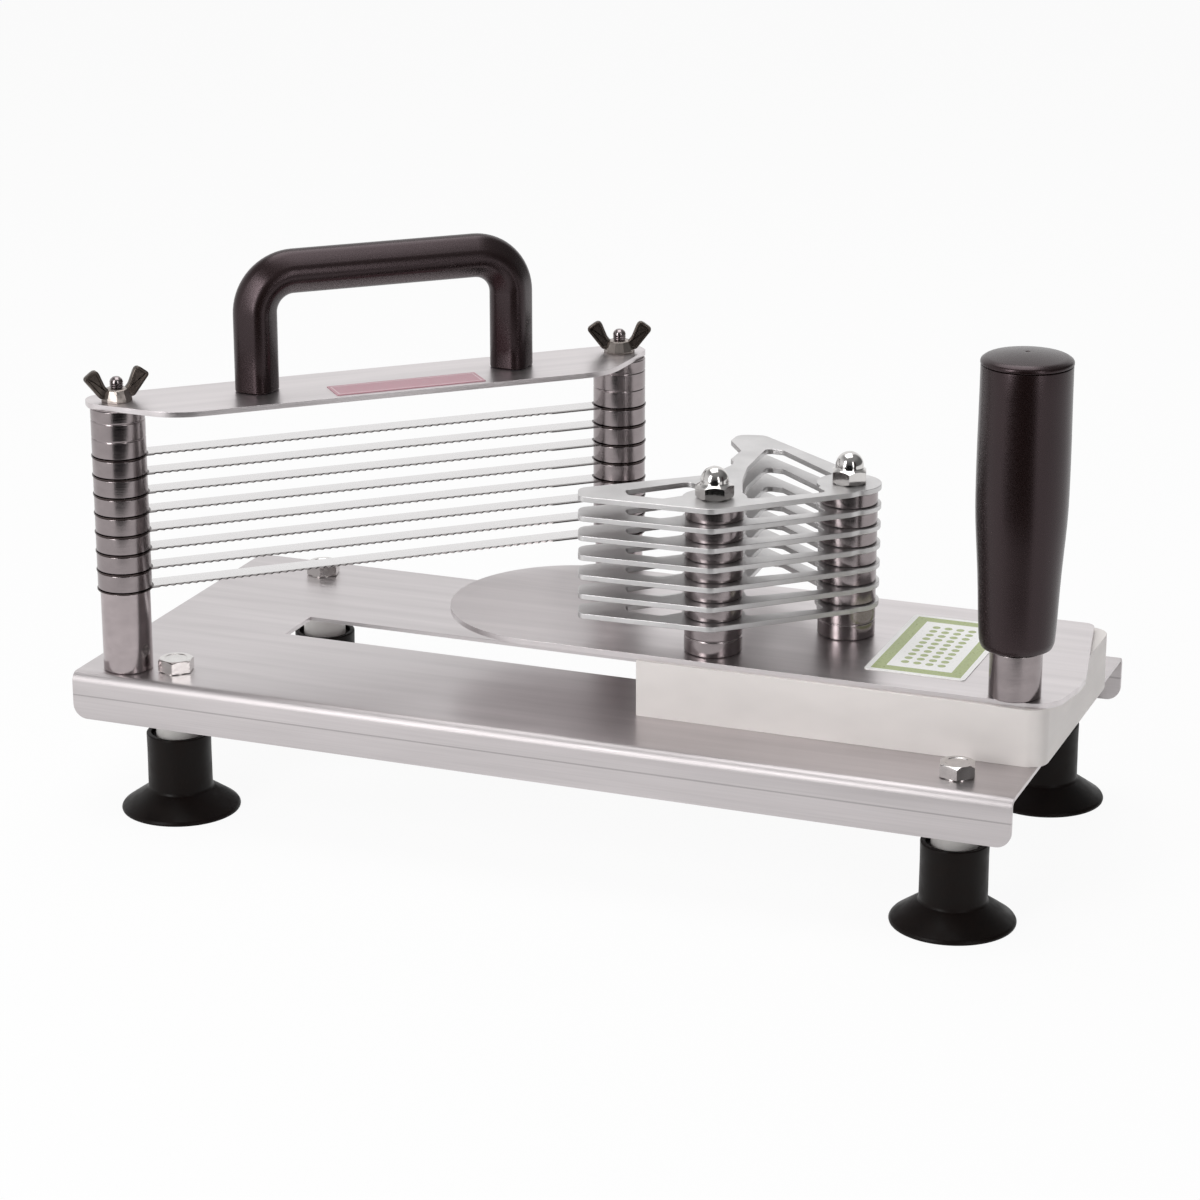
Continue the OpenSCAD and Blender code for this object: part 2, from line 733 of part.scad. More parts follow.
// Pusher comb
function scaled(rows) = [for (q = rows) q * pusher_span];
module pusher_plate(k) {
    pad_d = pusher_ring_d + 2 * pad_margin;
    hole_d = pusher_stud_d + 2 * fixed_gap;
    color(steel) at_pusher() translate([0, 0, pusher_z0 + (k - 1) * blade_pitch])
        linear_extrude(pusher_t) difference() {
            union() {
                difference() {
                    polygon(rounded(scaled(pusher_outline_shares)));
                    polygon(rounded(scaled(front_window_shares)));
                    polygon(rounded(scaled(rear_window_shares)));
                }
                circle(d = pad_d);
                translate([pusher_span, 0]) circle(d = pad_d);
            }
            circle(d = hole_d);
            translate([pusher_span, 0]) circle(d = hole_d);
        }
}
module pusher_rings() {
    bore = pusher_stud_d + 2 * fixed_gap;
    color(steel) {
        translate([0, 0, plate_top_z]) ring(pusher_ring_d, bore, foot_ring_h);
        translate([0, 0, plate_top_z + foot_ring_h]) ring(pusher_ring_d, bore, ring_h);
        for (i = [1 : gap_count - 1]) {
            translate([0, 0, pusher_z0 + i * blade_pitch - ring_h])
                ring(pusher_ring_d, bore, ring_h);
        }
    }
}
module pusher_stud() {
    z0 = top_z + lock_pocket_h - lock_nut_h - chamfer;
    color(steel) translate([0, 0, z0])
        cylinder(h = pusher_top_z + cap_nut_hex_h - z0, d = pusher_stud_d);
}
module cap_nut(angle) {
    dome_r = nut_w / 2 - 2 * chamfer;
    neck_z = cap_nut_h - dome_r;
    bore_r = pusher_stud_d / 2 + fixed_gap;
    color(chrome) translate([0, 0, pusher_top_z]) difference() {
        union() {
            rotate(angle) hexagon(nut_w, cap_nut_hex_h);
            translate([0, 0, chamfer]) cylinder(h = neck_z - chamfer, r = dome_r);
            translate([0, 0, neck_z]) sphere(r = dome_r);
        }
        translate([0, 0, -over]) cylinder(h = cap_nut_hex_h + over + chamfer, r = bore_r);
        translate([0, 0, -dome_r]) cube([nut_w * 2, nut_w * 2, dome_r * 2], center = true);
    }
}
module pusher_lock_nuts() {
    color(steel) at_pusher_posts(top_z + lock_pocket_h - lock_nut_h)
        hex_nut(nut_w, pusher_stud_d + 2 * fixed_gap, lock_nut_h);
}

// Push grip
module grip() {
    r = grip_d / 2;
    low_r = grip_low_d / 2;
    bore_r = spindle_d / 2 + turn_gap;
    side = [for (q = grip_shares) [r * q[1], grip_h * q[0]]];
    foot = [for (i = [0 : corner_steps]) [low_r - grip_edge_r
        + grip_edge_r * sin(90 * i / corner_steps),
        grip_edge_r - grip_edge_r * cos(90 * i / corner_steps)]];
    color(black_plastic) translate([0, 0, grip_z]) rotate_extrude() polygon(concat(
        [[bore_r, 0]], foot, side,
        [[grip_pocket_d / 2, grip_h], [grip_pocket_d / 2, grip_h - grip_pocket_h],
        [bore_r, grip_h - grip_pocket_h]]));
}
module grip_cap() {
    r = grip_d / 2 * grip_shares[len(grip_shares) - 1][1] + cap_rim;
    plug_r = grip_pocket_d / 2 - fixed_gap;
    edge = grip_dome_h / 2;
    ball_r = (pow(r, 2) + pow(edge, 2)) / (2 * edge);
    dome = [for (i = [0 : 2 * corner_steps]) let(x = r * (1 - i / (2 * corner_steps)))
        [x, grip_dome_h - ball_r + sqrt(pow(ball_r, 2) - pow(x, 2))]];
    color(black_plastic) translate([0, 0, grip_top_z]) rotate_extrude()
        polygon(concat([[0, -cap_plug_h], [plug_r, -cap_plug_h], [plug_r, 0], [r, 0]], dome));
}
module grip_collar() {
    color(steel) at_grip() translate([0, 0, plate_top_z])
        ring(collar_d, spindle_d + 2 * fixed_gap, collar_h);
}
module grip_spindle() {
    z0 = block_top_z - spindle_in_block + chamfer;
    head_z = grip_top_z - grip_pocket_h + face_gap;
    color(steel) at_grip() {
        translate([0, 0, z0]) cylinder(h = head_z - z0, d = spindle_d);
        translate([0, 0, head_z]) cylinder(h = spindle_head_h, d = spindle_head_d);
    }
}

// Labels
module bridge_label() {
    color("#c98a96") at_frame() translate([bridge_label_u, bridge_label_v, bridge_top_z])
        linear_extrude(label_t) polygon(rounded_box(bridge_label_l, bridge_label_w, chamfer));
}
module slide_label() {
    color("#b7c48e") translate([block_right - slide_label_inset, 0, plate_top_z]) linear_extrude(label_t)
        polygon(rounded_box(slide_label_w, slide_label_l, slide_label_r));
}

base_tray();
at_foot(0, 0) cup();  // front_left_cup
at_foot(1, 0) cup();  // front_right_cup
at_foot(0, 1) cup();  // rear_left_cup
at_foot(1, 1) cup();  // rear_right_cup
at_foot(0, 0) sleeve();  // front_left_sleeve
at_foot(1, 0) sleeve();  // front_right_sleeve
at_foot(0, 1) sleeve();  // rear_left_sleeve
at_foot(1, 1) sleeve();  // rear_right_sleeve
at_foot(0, 0) foot_bolt();  // front_left_bolt
at_foot(1, 0) foot_bolt();  // front_right_bolt
at_foot(0, 1) foot_bolt();  // rear_left_bolt
at_foot(1, 1) foot_bolt();  // rear_right_bolt
at_front_post() lower_post();  // front_post
at_rear_post() lower_post();  // rear_post
at_front_post() stud();  // front_stud
at_rear_post() stud();  // rear_stud
stud_nuts();
at_front_post() spacer_stack();  // front_spacers
at_rear_post() spacer_stack();  // rear_spacers
blade(1);  // blade_1
blade(2);  // blade_2
blade(3);  // blade_3
blade(4);  // blade_4
blade(5);  // blade_5
blade(6);  // blade_6
blade(7);  // blade_7
blade(8);  // blade_8
bridge_plate();
carry_handle();
handle_screws();
at_front_post() rotate(wing_turn_front) wing_nut();  // front_wing_nut
at_rear_post() rotate(wing_turn_rear) wing_nut();  // rear_wing_nut
bridge_label();
slide_block();
slide_plate();
guide_key();
retainer_plate();
retainer_screws();
pusher_plate(1);  // pusher_plate_1
pusher_plate(2);  // pusher_plate_2
pusher_plate(3);  // pusher_plate_3
pusher_plate(4);  // pusher_plate_4
pusher_plate(5);  // pusher_plate_5
pusher_plate(6);  // pusher_plate_6
pusher_plate(7);  // pusher_plate_7
at_pusher() pusher_rings();  // front_pusher_rings
at_rear_pusher() pusher_rings();  // rear_pusher_rings
at_pusher() pusher_stud();  // front_pusher_stud
at_rear_pusher() pusher_stud();  // rear_pusher_stud
at_pusher() cap_nut(cap_turn_front);  // front_cap_nut
at_rear_pusher() cap_nut(cap_turn_rear);  // rear_cap_nut
pusher_lock_nuts();
at_grip() grip();
at_grip() grip_cap();
grip_collar();
grip_spindle();
slide_label();
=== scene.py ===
"""Tomato slicer: rounded edges, fine parts and finishes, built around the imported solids."""

import json
import math

import bmesh
import bpy
from mathutils import Matrix, Vector


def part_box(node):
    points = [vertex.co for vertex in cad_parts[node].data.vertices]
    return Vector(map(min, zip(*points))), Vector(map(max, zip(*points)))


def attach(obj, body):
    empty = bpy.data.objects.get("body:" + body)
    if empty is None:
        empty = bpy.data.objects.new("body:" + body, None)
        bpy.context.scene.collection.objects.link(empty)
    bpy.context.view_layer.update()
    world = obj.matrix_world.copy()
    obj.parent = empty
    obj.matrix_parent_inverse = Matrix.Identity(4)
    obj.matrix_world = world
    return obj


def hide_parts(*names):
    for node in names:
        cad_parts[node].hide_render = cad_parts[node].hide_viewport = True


bl_info = {
    "name": "Tomato Slicer",
    "version": (1, 0, 0),
    "blender": (4, 5, 0),
    "location": "View3D > Sidebar > Slicer",
    "description": "Builds the pieces and finishes of a hand tomato slicer",
    "category": "Object",
}

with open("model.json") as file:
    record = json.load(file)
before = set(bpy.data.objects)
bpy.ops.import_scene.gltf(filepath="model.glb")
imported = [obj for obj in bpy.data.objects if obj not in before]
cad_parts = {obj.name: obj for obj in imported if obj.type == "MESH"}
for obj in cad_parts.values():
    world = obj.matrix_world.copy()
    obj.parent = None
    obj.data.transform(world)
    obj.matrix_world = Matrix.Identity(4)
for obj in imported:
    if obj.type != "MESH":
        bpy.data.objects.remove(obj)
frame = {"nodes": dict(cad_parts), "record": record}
NODES = frame["nodes"]
RECORD = frame["record"]
BODY_OF = {node: body for body, nodes in RECORD["behaviour"]["bodies"].items() for node in nodes}
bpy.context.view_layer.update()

# Steps of a full turn, and of a rounded corner in a turned profile
TURN_STEPS = 96
EASE_STEPS = 4
# Corners of a turned form, and of a copied solid, closer together than this are one (mm)
MERGE_TURNED = 0.002
MERGE_COPIED = 0.004
# A copied solid gets rounded edges where its faces meet at more than the first angle, and
# facets that meet at less than the second are one face
ROUNDED_ANGLE = math.radians(28)
FLAT_ANGLE = math.radians(0.6)
# Angle between the row of blades and the length of the base
FRAME_ANGLE = math.radians(42.7)
FEET = ("front_left", "front_right", "rear_left", "rear_right")
BLADE_COUNT = 8
PUSHER_COUNT = 7
# Height of the bolt heads in millimetres, and how far they are turned
BOLT_HEAD = 5.0
BOLT_TURN = math.radians(44)
# How far the wing nuts and the cap nuts are turned from the line of the blades, in degrees
WING_NUT_TURNS = {"front": 4, "rear": -22}
CAP_NUT_TURNS = {"front": -23, "rear": 4}
# Radius of the dome of a cap nut, and the steps of its quarter circle
DOME_RADIUS = 5.1
DOME_STEPS = 12
# Radii of a stud and of the bottom of its thread, in millimetres
STUD_RADIUS = 2.5
THREAD_ROOT = 2.12
# Radius of the grip at its widest, and of its cap
GRIP_RADIUS = 16
CAP_RADIUS = 15.88

# Profiles: rows of radius and height in millimetres, with how far an eased corner reaches
CUP_PROFILE = [
    (0, 5.5), (6.5, 5.5, 1), (19.3, 1.3, 0.6), (20.6, 0.05, 0.3), (22.2, 0, 0.15),
    (22.4, 0.7, 0.3), (21.9, 1.6, 0.4), (17.2, 4.9, 1.6), (13.3, 7.6, 0.8),
    (12.5, 8.1, 0.2), (12.1, 8.9, 0.3), (12.0, 24, 2), (12.1, 30.2, 0.5),
    (10.3, 30.3, 0.4), (10.2, 28.3), (4.1, 28.3), (4.1, 14.9), (0, 14.9)]
HUB_PROFILE = [(2.55, 0), (5.9, 0, 0.2), (5.9, 0.9, 0.3), (4.3, 4.5, 0.4), (2.55, 4.8)]
HUB_SIDES = 10
# Outline of one wing, seen from the front
WING_OUTLINE = [(3.0, 1.2), (6.5, 1.2, 0.8), (12.7, 9.1, 1.5), (7.5, 13.0, 2.7),
                (4.4, 5.4, 1.4), (3.0, 4.3)]
# Widths in millimetres of the rim of a wing, of the slope into its hollow, and of its edges
WING_RIM = 1.0
WING_SLOPE = 0.3
WING_EDGE = 0.5
# Side of the grip: rows of the share of its height and the share of its widest radius
GRIP_SIDE = [
    (0.07, 0.838), (0.11, 0.852), (0.16, 0.866), (0.22, 0.883), (0.28, 0.904), (0.34, 0.930),
    (0.40, 0.957), (0.45, 0.978), (0.50, 0.991), (0.55, 0.997), (0.65, 1.0), (0.74, 0.997),
    (0.82, 0.991), (0.91, 0.986)]

# Zones of the finishes, in millimetres: the mark of the bending tool along both flanges, 8.6
# below the top, and where the bends begin and end outward and upward
MARK_HEIGHT = 45.7
MARK_HALF_WIDTH = 0.28
BEND_OUTWARD = (75.5, 78.5)
BEND_UPWARD = (48.5, 51.5)
# Radius of the painted shade round each of a blade's eyes, and how far off the blade's middle its
# teeth begin
EYE_SHADE_RADIUS = 10.6
TOOTH_START = -3.6

# Half length and half width of what is printed on the labels, in millimetres
RED_LINE_OUTER, RED_LINE_INNER = (28.0, 5.7), (27.5, 5.2)
GREEN_FRAME_OUTER, GREEN_FRAME_INNER = (16.5, 30.5), (12.0, 26.0)
DOT_FIELD = (9.0, 22.5)
# Distance between two dots, and the radius of a dot as a share of it
DOT_PITCH = 4.5
DOT_SHARE = 0.33

# Camera: place in metres, turns about X, Y and Z in degrees, lens and sensor in millimetres
CAMERA_PLACE = (0.4507, -1.1701, 0.4926)
CAMERA_TURNS = (71.79, 0, 21.25)
CAMERA_LENS = 106.15
CAMERA_SENSOR = 36
FLOOR_HALF = 4.0
# How much of the floor's light to the eye is plain white
FLOOR_GLOW = 0.93
# Corners of the black card in metres: it slants up towards the camera, under its view
CARD_CORNERS = [(-0.17, -0.475, 0.0), (0.37, -0.255, 0.0), (0.86, -0.95, 0.4),
                (0.06, -1.27, 0.4)]
# Grey levels round the horizon: rows of the share of a full turn and the level
HORIZON = [(0.0, 0.8), (0.19, 0.8), (0.225, 0.12), (0.35, 0.12), (0.375, 0.5), (0.41, 0.5),
           (0.44, 0.12), (0.66, 0.15), (0.72, 1.0), (1.0, 0.85)]
# Heights between which the horizon goes over into the ceiling, and the ceiling's level
CEILING = (0.45, 0.8)
CEILING_LEVEL = 0.3
# Direction and half width of the white sheet behind the object
SHEET_DIRECTION = math.radians(111)
SHEET_HALF_WIDTH = math.radians(36)
# Lamps: name, place, target and size in metres, and power in watts
SOFTBOXES = [
    ("Key softbox", (-0.45, -1.2, 0.62), (-0.02, 0, 0.1), (0.32, 1.1), 8.5),
    ("Right softbox", (1.0, -0.8, 0.5), (0, 0, 0.1), (0.15, 0.9), 2.0),
    ("Top softbox", (-0.1, 0.15, 1.3), (0, 0, 0.1), (0.9, 0.9), 6.8),
]


def mm(length):
    """Millimetres as Blender's metres."""
    return length / 1000


def in_mm(length):
    """Blender's metres as millimetres."""
    return length * 1000


def linear(hex_colour):
    """An sRGB hex colour as linear red, green, blue and alpha."""
    parts = [int(hex_colour[i:i + 2], 16) / 255 for i in (1, 3, 5)]
    light = [c / 12.92 if c <= 0.04045 else ((c + 0.055) / 1.055) ** 2.4 for c in parts]
    return (*light, 1.0)


def length_of(value, name, text):
    """A length property whose default is given in millimetres."""
    return bpy.props.FloatProperty(
        name=name, description=text, default=mm(value), min=0.0, precision=5,
        subtype="DISTANCE", unit="LENGTH")


def colour_of(value, name, text):
    """A colour property whose default is given as an sRGB hex colour."""
    return bpy.props.FloatVectorProperty(
        name=name, description=text, default=linear(value), size=4, min=0.0, max=1.0,
        subtype="COLOR")


class SlicerSizes(bpy.types.PropertyGroup):
    """Sizes of the edges and of the fine parts"""
    sheet_edge: length_of(
        0.3, "Sheet edge", "Rounding of the edges of the base, bridge and slide plate")
    pusher_edge: length_of(0.62, "Pusher edge", "Rounding of the edges of the pusher plates")
    block_edge: length_of(0.9, "Block edge", "Rounding of the edges of the slide block")
    ring_edge: length_of(0.1, "Ring edge", "Rounding of the chamfers of rings and posts")
    screw_edge: length_of(0.2, "Screw edge", "Rounding of the edges of screws and nuts")
    handle_span: length_of(100, "Handle span", "Distance between the legs of the carry handle")
    handle_side: length_of(14.6, "Handle side", "Side of the square section of the carry handle")
    handle_edge: length_of(5, "Handle edge", "Radius of the edges of the carry handle")
    handle_corner: length_of(23, "Handle corner", "Outer radius of the bends of the carry handle")
    wing_thickness: length_of(2.8, "Wing thickness", "Thickness of the wings of a wing nut")
    wing_recess: length_of(0.45, "Wing recess", "Depth of the hollow in the faces of a wing")
    thread_pitch: length_of(0.8, "Thread pitch", "Distance between two turns of the stud thread")
    nut_width: length_of(12, "Nut width", "Width across the flats of bolt heads and cap nuts")


class SlicerColours(bpy.types.PropertyGroup):
    """Colours of the finishes"""
    sheet: colour_of("#d9d3d4", "Sheet", "Brushed stainless sheet")
    # Painted shade: the turned stainless of rings, studs and collars is painted much darker than
    # the sheet, for their shade and dark reflections
    rings: colour_of("#978e8f", "Rings", "Turned stainless bar")
    blades: colour_of("#e2e0e0", "Blades", "Ground blade strip")
    polish: colour_of("#d8d5d3", "Polish", "Polished nuts and bolt heads")
    bronze: colour_of("#6b625c", "Wing nuts", "Blackened cast wing nuts")
    # Painted highlight: the hubs are the cast steel painted much lighter, for their bright facets
    wear_and_highlight: colour_of("#b3aaa4", "Wing nut hubs", "Hubs of the wing nuts, painted bright as highlight")
    plastic: colour_of(
        "#150b0a", "Black plastic", "Moulded black plastic of the handle and the grip")
    rubber: colour_of("#0e0705", "Rubber", "Moulded rubber of the suction cups")
    block: colour_of("#e9e3e0", "Block", "Milled white plastic of the slide block")
    sleeve: colour_of("#dedbd8", "Sleeves", "Turned white plastic of the foot sleeves")
    red_film: colour_of("#c48d9a", "Red film", "Printed film on the bridge")
    green_film: colour_of("#a3af72", "Green film", "Printed film on the slide plate")
    floor: colour_of("#f4f4f4", "Floor", "Plain pale floor")


def sizes():
    return bpy.context.scene.slicer_sizes


def colours():
    return bpy.context.scene.slicer_colours


# Nodes of the finishes


def add(tree, kind, inputs=None, **settings):
    """Adds a shader node with its settings, and sets or links its inputs."""
    node = tree.nodes.new("ShaderNode" + kind)
    for name, value in settings.items():
        setattr(node, name, value)
    for key, value in (inputs or {}).items():
        if isinstance(value, bpy.types.NodeSocket):
            tree.links.new(value, node.inputs[key])
        else:
            node.inputs[key].default_value = value
    return node


def grains(tree, size, turn=0.0, detail=2.0, shift=0.0):
    """Noise whose grains are size = (x, y, z) millimetres, turned about Z."""
    place = add(tree, "TexCoord")
    turned_place = add(tree, "Mapping", {
        "Vector": place.outputs["Object"], "Rotation": (0.0, 0.0, -turn)})
    scaled = add(tree, "Mapping", {
        "Vector": turned_place.outputs["Vector"], "Location": (shift, shift, shift),
        "Scale": [1 / mm(s) for s in size]})
    noise = add(tree, "TexNoise", {
        "Vector": scaled.outputs["Vector"], "Scale": 1.0, "Detail": detail, "Roughness": 0.55})
    return noise.outputs[0]


def spread(tree, value, low, high, start=0.32, end=0.68):
    """The value from start to end, brought to the range from low to high."""
    made = add(tree, "MapRange", {
        "Value": value, "From Min": start, "From Max": end, "To Min": low, "To Max": high})
    return made.outputs["Result"]


def math_node(tree, operation, *values):
    """The result of one Math node."""
    return add(tree, "Math", dict(enumerate(values)), operation=operation).outputs[0]


def shade(colour, factor):
    """A colour made lighter or darker by a factor."""
    return tuple(min(1.0, c * factor) for c in colour[:3]) + (1.0,)


def tint(tree, value, dark, light, start=0.32, end=0.68):
    """Colours from dark to light as the value goes from start to end."""
    ramp = add(tree, "ValToRGB", {"Fac": value})
    for element, position, colour in zip(ramp.color_ramp.elements, (start, end), (dark, light)):
        element.position = position
        element.color = colour
    return ramp.outputs["Color"]


def mixed(tree, factor, first, second):
    """The first colour where the factor is 0, and the second where it is 1."""
    made = add(tree, "Mix", {0: factor}, data_type="RGBA")
    for socket, value in ((made.inputs[6], first), (made.inputs[7], second)):
        if isinstance(value, bpy.types.NodeSocket):
            tree.links.new(value, socket)
        else:
            socket.default_value = value
    return made.outputs[2]


def bumped(tree, height, strength, distance_mm):
    """The normals of a relief whose full height is given in millimetres."""
    bump = add(tree, "Bump", {
        "Height": height, "Strength": strength, "Distance": mm(distance_mm)})
    return bump.outputs["Normal"]


def blank(name):
    """A new material whose node tree is empty."""
    made = bpy.data.materials.new(name)
    made.use_nodes = True
    made.node_tree.nodes.clear()
    return made


def finish(name, fill):
    """The material of that name, made once. fill(tree) returns the sockets of its shader."""
    made = bpy.data.materials.get(name)
    if made is None:
        made = blank(name)
        tree = made.node_tree
        shader = add(tree, "BsdfPrincipled", fill(tree))
        add(tree, "OutputMaterial", {"Surface": shader.outputs["BSDF"]})
    return made


# Finishes


def brushed_stainless(name, turn=0.0, bend_line=False, level=1.0):
    """304 stainless sheet, brushed lengthwise: soft streaky reflections along the grain."""
    def fill(tree):
        light = shade(colours().sheet, level)
        # The real grain is about 0.1 mm wide; it is drawn 0.4 mm wide so that it shows
        streaks = grains(tree, (40, 0.4, 0.4), turn)
        bands = grains(tree, (90, 6, 6), turn, shift=3.0)
        grain = math_node(tree, "MULTIPLY_ADD", bands, 0.6,
                          math_node(tree, "MULTIPLY", streaks, 0.4))
        colour = tint(tree, grain, shade(light, 0.83), light)
        height = streaks
        rough = spread(tree, streaks, 0.28, 0.38)
        if bend_line:
            place = add(tree, "TexCoord")
            parts = add(tree, "SeparateXYZ", {"Vector": place.outputs["Object"]})
            mark = math_node(tree, "COMPARE", parts.outputs["Z"], mm(MARK_HEIGHT),
                             mm(MARK_HALF_WIDTH))
            # Painted shade: the crease of the bending tool is painted darker here; its groove is
            # pressed into the bump below
            colour = mixed(tree, math_node(tree, "MULTIPLY", mark, 0.45), colour,
                           shade(light, 0.35))
            height = math_node(tree, "SUBTRACT", streaks, mark)
            # The stretched sheet of the bends is rougher than its flat faces
            outward = spread(tree, math_node(tree, "ABSOLUTE", parts.outputs["Y"]), 0.0, 1.0,
                             *[mm(edge) for edge in BEND_OUTWARD])
            upward = spread(tree, parts.outputs["Z"], 0.0, 1.0,
                            *[mm(edge) for edge in BEND_UPWARD])
            bend = math_node(tree, "MULTIPLY", outward, upward)
            rough = math_node(tree, "MULTIPLY_ADD", bend, 0.17, rough)
        return {"Base Color": colour, "Metallic": 1.0, "Roughness": rough,
                "Normal": bumped(tree, height, 0.2, 0.02)}
    return finish(name, fill)


def turned_stainless(name, colour, rough=(0.15, 0.24), round_grooves=True):
    """Stainless bar turned on a lathe: fine grooves round the axis spread light up and down."""
    def fill(tree):
        # Grooves are about 0.1 mm apart; they are drawn 0.3 mm apart so that they show
        grooves = grains(tree, (14, 14, 0.3))
        patches = grains(tree, (7, 7, 5), shift=5.0)
        sockets = {"Base Color": tint(tree, patches, shade(colour, 0.88), colour),
                   "Metallic": 1.0, "Roughness": spread(tree, grooves, *rough),
                   "Normal": bumped(tree, grooves, 0.12, 0.015)}
        if round_grooves:
            tangent = add(tree, "Tangent", direction_type="RADIAL", axis="Z")
            sockets.update({"Anisotropic": 0.65, "Tangent": tangent.outputs["Tangent"]})
        return sockets
    return finish(name, fill)


def tumbled_stainless(name):
    """Laser-cut stainless, tumbled smooth: an even satin with no direction."""
    def fill(tree):
        satin = grains(tree, (0.5, 0.5, 0.5), detail=3.0)
        clouds = grains(tree, (14, 14, 14))
        light = shade(colours().blades, 0.86)
        return {"Base Color": tint(tree, clouds, shade(light, 0.86), light),
                "Metallic": 1.0, "Roughness": spread(tree, satin, 0.34, 0.46),
                "Normal": bumped(tree, satin, 0.1, 0.02)}
    return finish(name, fill)


def ground_blade(name):
    """Ground strip steel: fine scratches across, with painted shade on the bevel of the teeth and
    round the eyes.
    """
    def fill(tree):
        scratches = grains(tree, (0.9, 8, 8), FRAME_ANGLE)
        bright = tint(tree, scratches, shade(colours().blades, 0.95), colours().blades)
        place = add(tree, "TexCoord")
        flat = add(tree, "VectorMath", {0: place.outputs["Object"], 1: (1.0, 1.0, 0.0)},
                   operation="MULTIPLY")
        reach = [add(tree, "VectorMath", {0: flat.outputs["Vector"], 1: axis_of(side + "_post")},
                     operation="DISTANCE").outputs["Value"] for side in ("front", "rear")]
        # Painted shade: the blade round each post, where it lies between the rings, is painted
        # dark
        painted_eye_shade = math_node(tree, "LESS_THAN", math_node(tree, "MINIMUM", *reach), mm(EYE_SHADE_RADIUS))
        # Painted shade: the bevel of the teeth lies in shade, and it is painted darker than the
        # flat of the blade
        across = in_label(tree, axis_of("front_post"), FRAME_ANGLE)[1]
        teeth = math_node(tree, "LESS_THAN", across, mm(TOOTH_START))
        bevel = math_node(tree, "MULTIPLY", teeth, 0.75)
        colour = mixed(tree, bevel, bright, linear("#5d5453"))
        return {"Base Color": mixed(tree, painted_eye_shade, colour, linear("#4a4140")),
                "Metallic": 1.0, "Roughness": spread(tree, scratches, 0.22, 0.28),
                "Normal": bumped(tree, scratches, 0.05, 0.01)}
    return finish(name, fill)


def polished_steel(name):
    """Polished stainless nuts and bolt heads: nearly a mirror, with faint smears."""
    def fill(tree):
        smears = grains(tree, (3, 3, 3), detail=3.0)
        return {"Base Color": tint(tree, smears, shade(colours().polish, 0.9), colours().polish),
                "Metallic": 1.0, "Roughness": spread(tree, smears, 0.09, 0.18)}
    return finish(name, fill)


def blackened_casting(name, colour):
    """Cast steel blackened in oil: dark bronze sheen, paler where fingers rub it."""
    def fill(tree):
        pits = grains(tree, (0.7, 0.7, 0.7), detail=3.0)
        wear_and_highlight = grains(tree, (4, 4, 4), detail=2.0, shift=2.0)
        return {"Base Color": tint(tree, wear_and_highlight, shade(colour, 0.5), colour),
                "Metallic": 1.0, "Roughness": spread(tree, wear_and_highlight, 0.42, 0.3),
                "Normal": bumped(tree, pits, 0.35, 0.08)}
    return finish(name, fill)


def moulded_plastic(name):
    """Glass-filled nylon from a spark-eroded mould: matt, with a fine even grain."""
    def fill(tree):
        # The mould grain is about 0.2 mm; it is drawn 0.5 mm wide so that it shows
        pores = grains(tree, (0.5, 0.5, 0.5), detail=3.0)
        flow = grains(tree, (22, 22, 30))
        black = colours().plastic
        return {"Base Color": tint(tree, flow, shade(black, 0.85), shade(black, 1.08)),
                "Roughness": spread(tree, pores, 0.24, 0.33), "Specular IOR Level": 0.5,
                "Specular Tint": (1.0, 0.78, 0.84, 1.0),
                "Normal": bumped(tree, pores, 0.25, 0.05)}
    return finish(name, fill)


def moulded_rubber(name):
    """Moulded rubber: nearly black brown with a dull waxy shine."""
    def fill(tree):
        bloom = grains(tree, (5, 5, 5), detail=3.0)
        pores = grains(tree, (0.6, 0.6, 0.6), detail=3.0)
        black = colours().rubber
        return {"Base Color": tint(tree, bloom, shade(black, 0.75), shade(black, 1.15)),
                "Roughness": spread(tree, bloom, 0.36, 0.5), "Specular IOR Level": 0.13,
                "Normal": bumped(tree, pores, 0.18, 0.05)}
    return finish(name, fill)


def milled_polyethylene(name, colour):
    """Milled polyethylene: milky white and waxy, with faint cutter lines and scuffs."""
    def fill(tree):
        cutter = grains(tree, (0.6, 30, 0.9))
        cloud = grains(tree, (26, 26, 14))
        return {"Base Color": tint(tree, cloud, shade(colour, 0.95), shade(colour, 1.02)),
                "Roughness": spread(tree, cutter, 0.38, 0.5), "IOR": 1.54,
                "Normal": bumped(tree, cutter, 0.12, 0.04)}
    return finish(name, fill)


def in_label(tree, centre, turn):
    """Distances from the middle of a label along its two sides, as two sockets in metres."""
    place = add(tree, "TexCoord")
    moved = add(tree, "VectorMath", {0: place.outputs["Object"], 1: tuple(centre)},
                operation="SUBTRACT")
    turned_place = add(tree, "Mapping", {
        "Vector": moved.outputs["Vector"], "Rotation": (0.0, 0.0, -turn)})
    parts = add(tree, "SeparateXYZ", {"Vector": turned_place.outputs["Vector"]})
    return parts.outputs["X"], parts.outputs["Y"]


def within(tree, along, across, half_l, half_w):
    """1 inside a rectangle about the middle of a label, and 0 outside."""
    inside = [math_node(tree, "LESS_THAN", math_node(tree, "ABSOLUTE", value), mm(half))
              for value, half in ((along, half_l), (across, half_w))]
    return math_node(tree, "MULTIPLY", *inside)


def red_film(name, centre):
    """Vinyl film printed in one red, with a thin pale line along its edge."""
    def fill(tree):
        along, across = in_label(tree, centre, FRAME_ANGLE)
        outer = within(tree, along, across, *RED_LINE_OUTER)
        inner = within(tree, along, across, *RED_LINE_INNER)
        line = math_node(tree, "SUBTRACT", outer, inner)
        ink = grains(tree, (1.2, 1.2, 1.2), detail=3.0)
        red = tint(tree, ink, shade(colours().red_film, 0.93), shade(colours().red_film, 1.04))
        border = math_node(tree, "MULTIPLY", line, 0.7)
        return {"Base Color": mixed(tree, border, red, linear("#e9d3d6")),
                "Roughness": spread(tree, ink, 0.3, 0.4), "IOR": 1.5,
                "Normal": bumped(tree, ink, 0.06, 0.03)}
    return finish(name, fill)


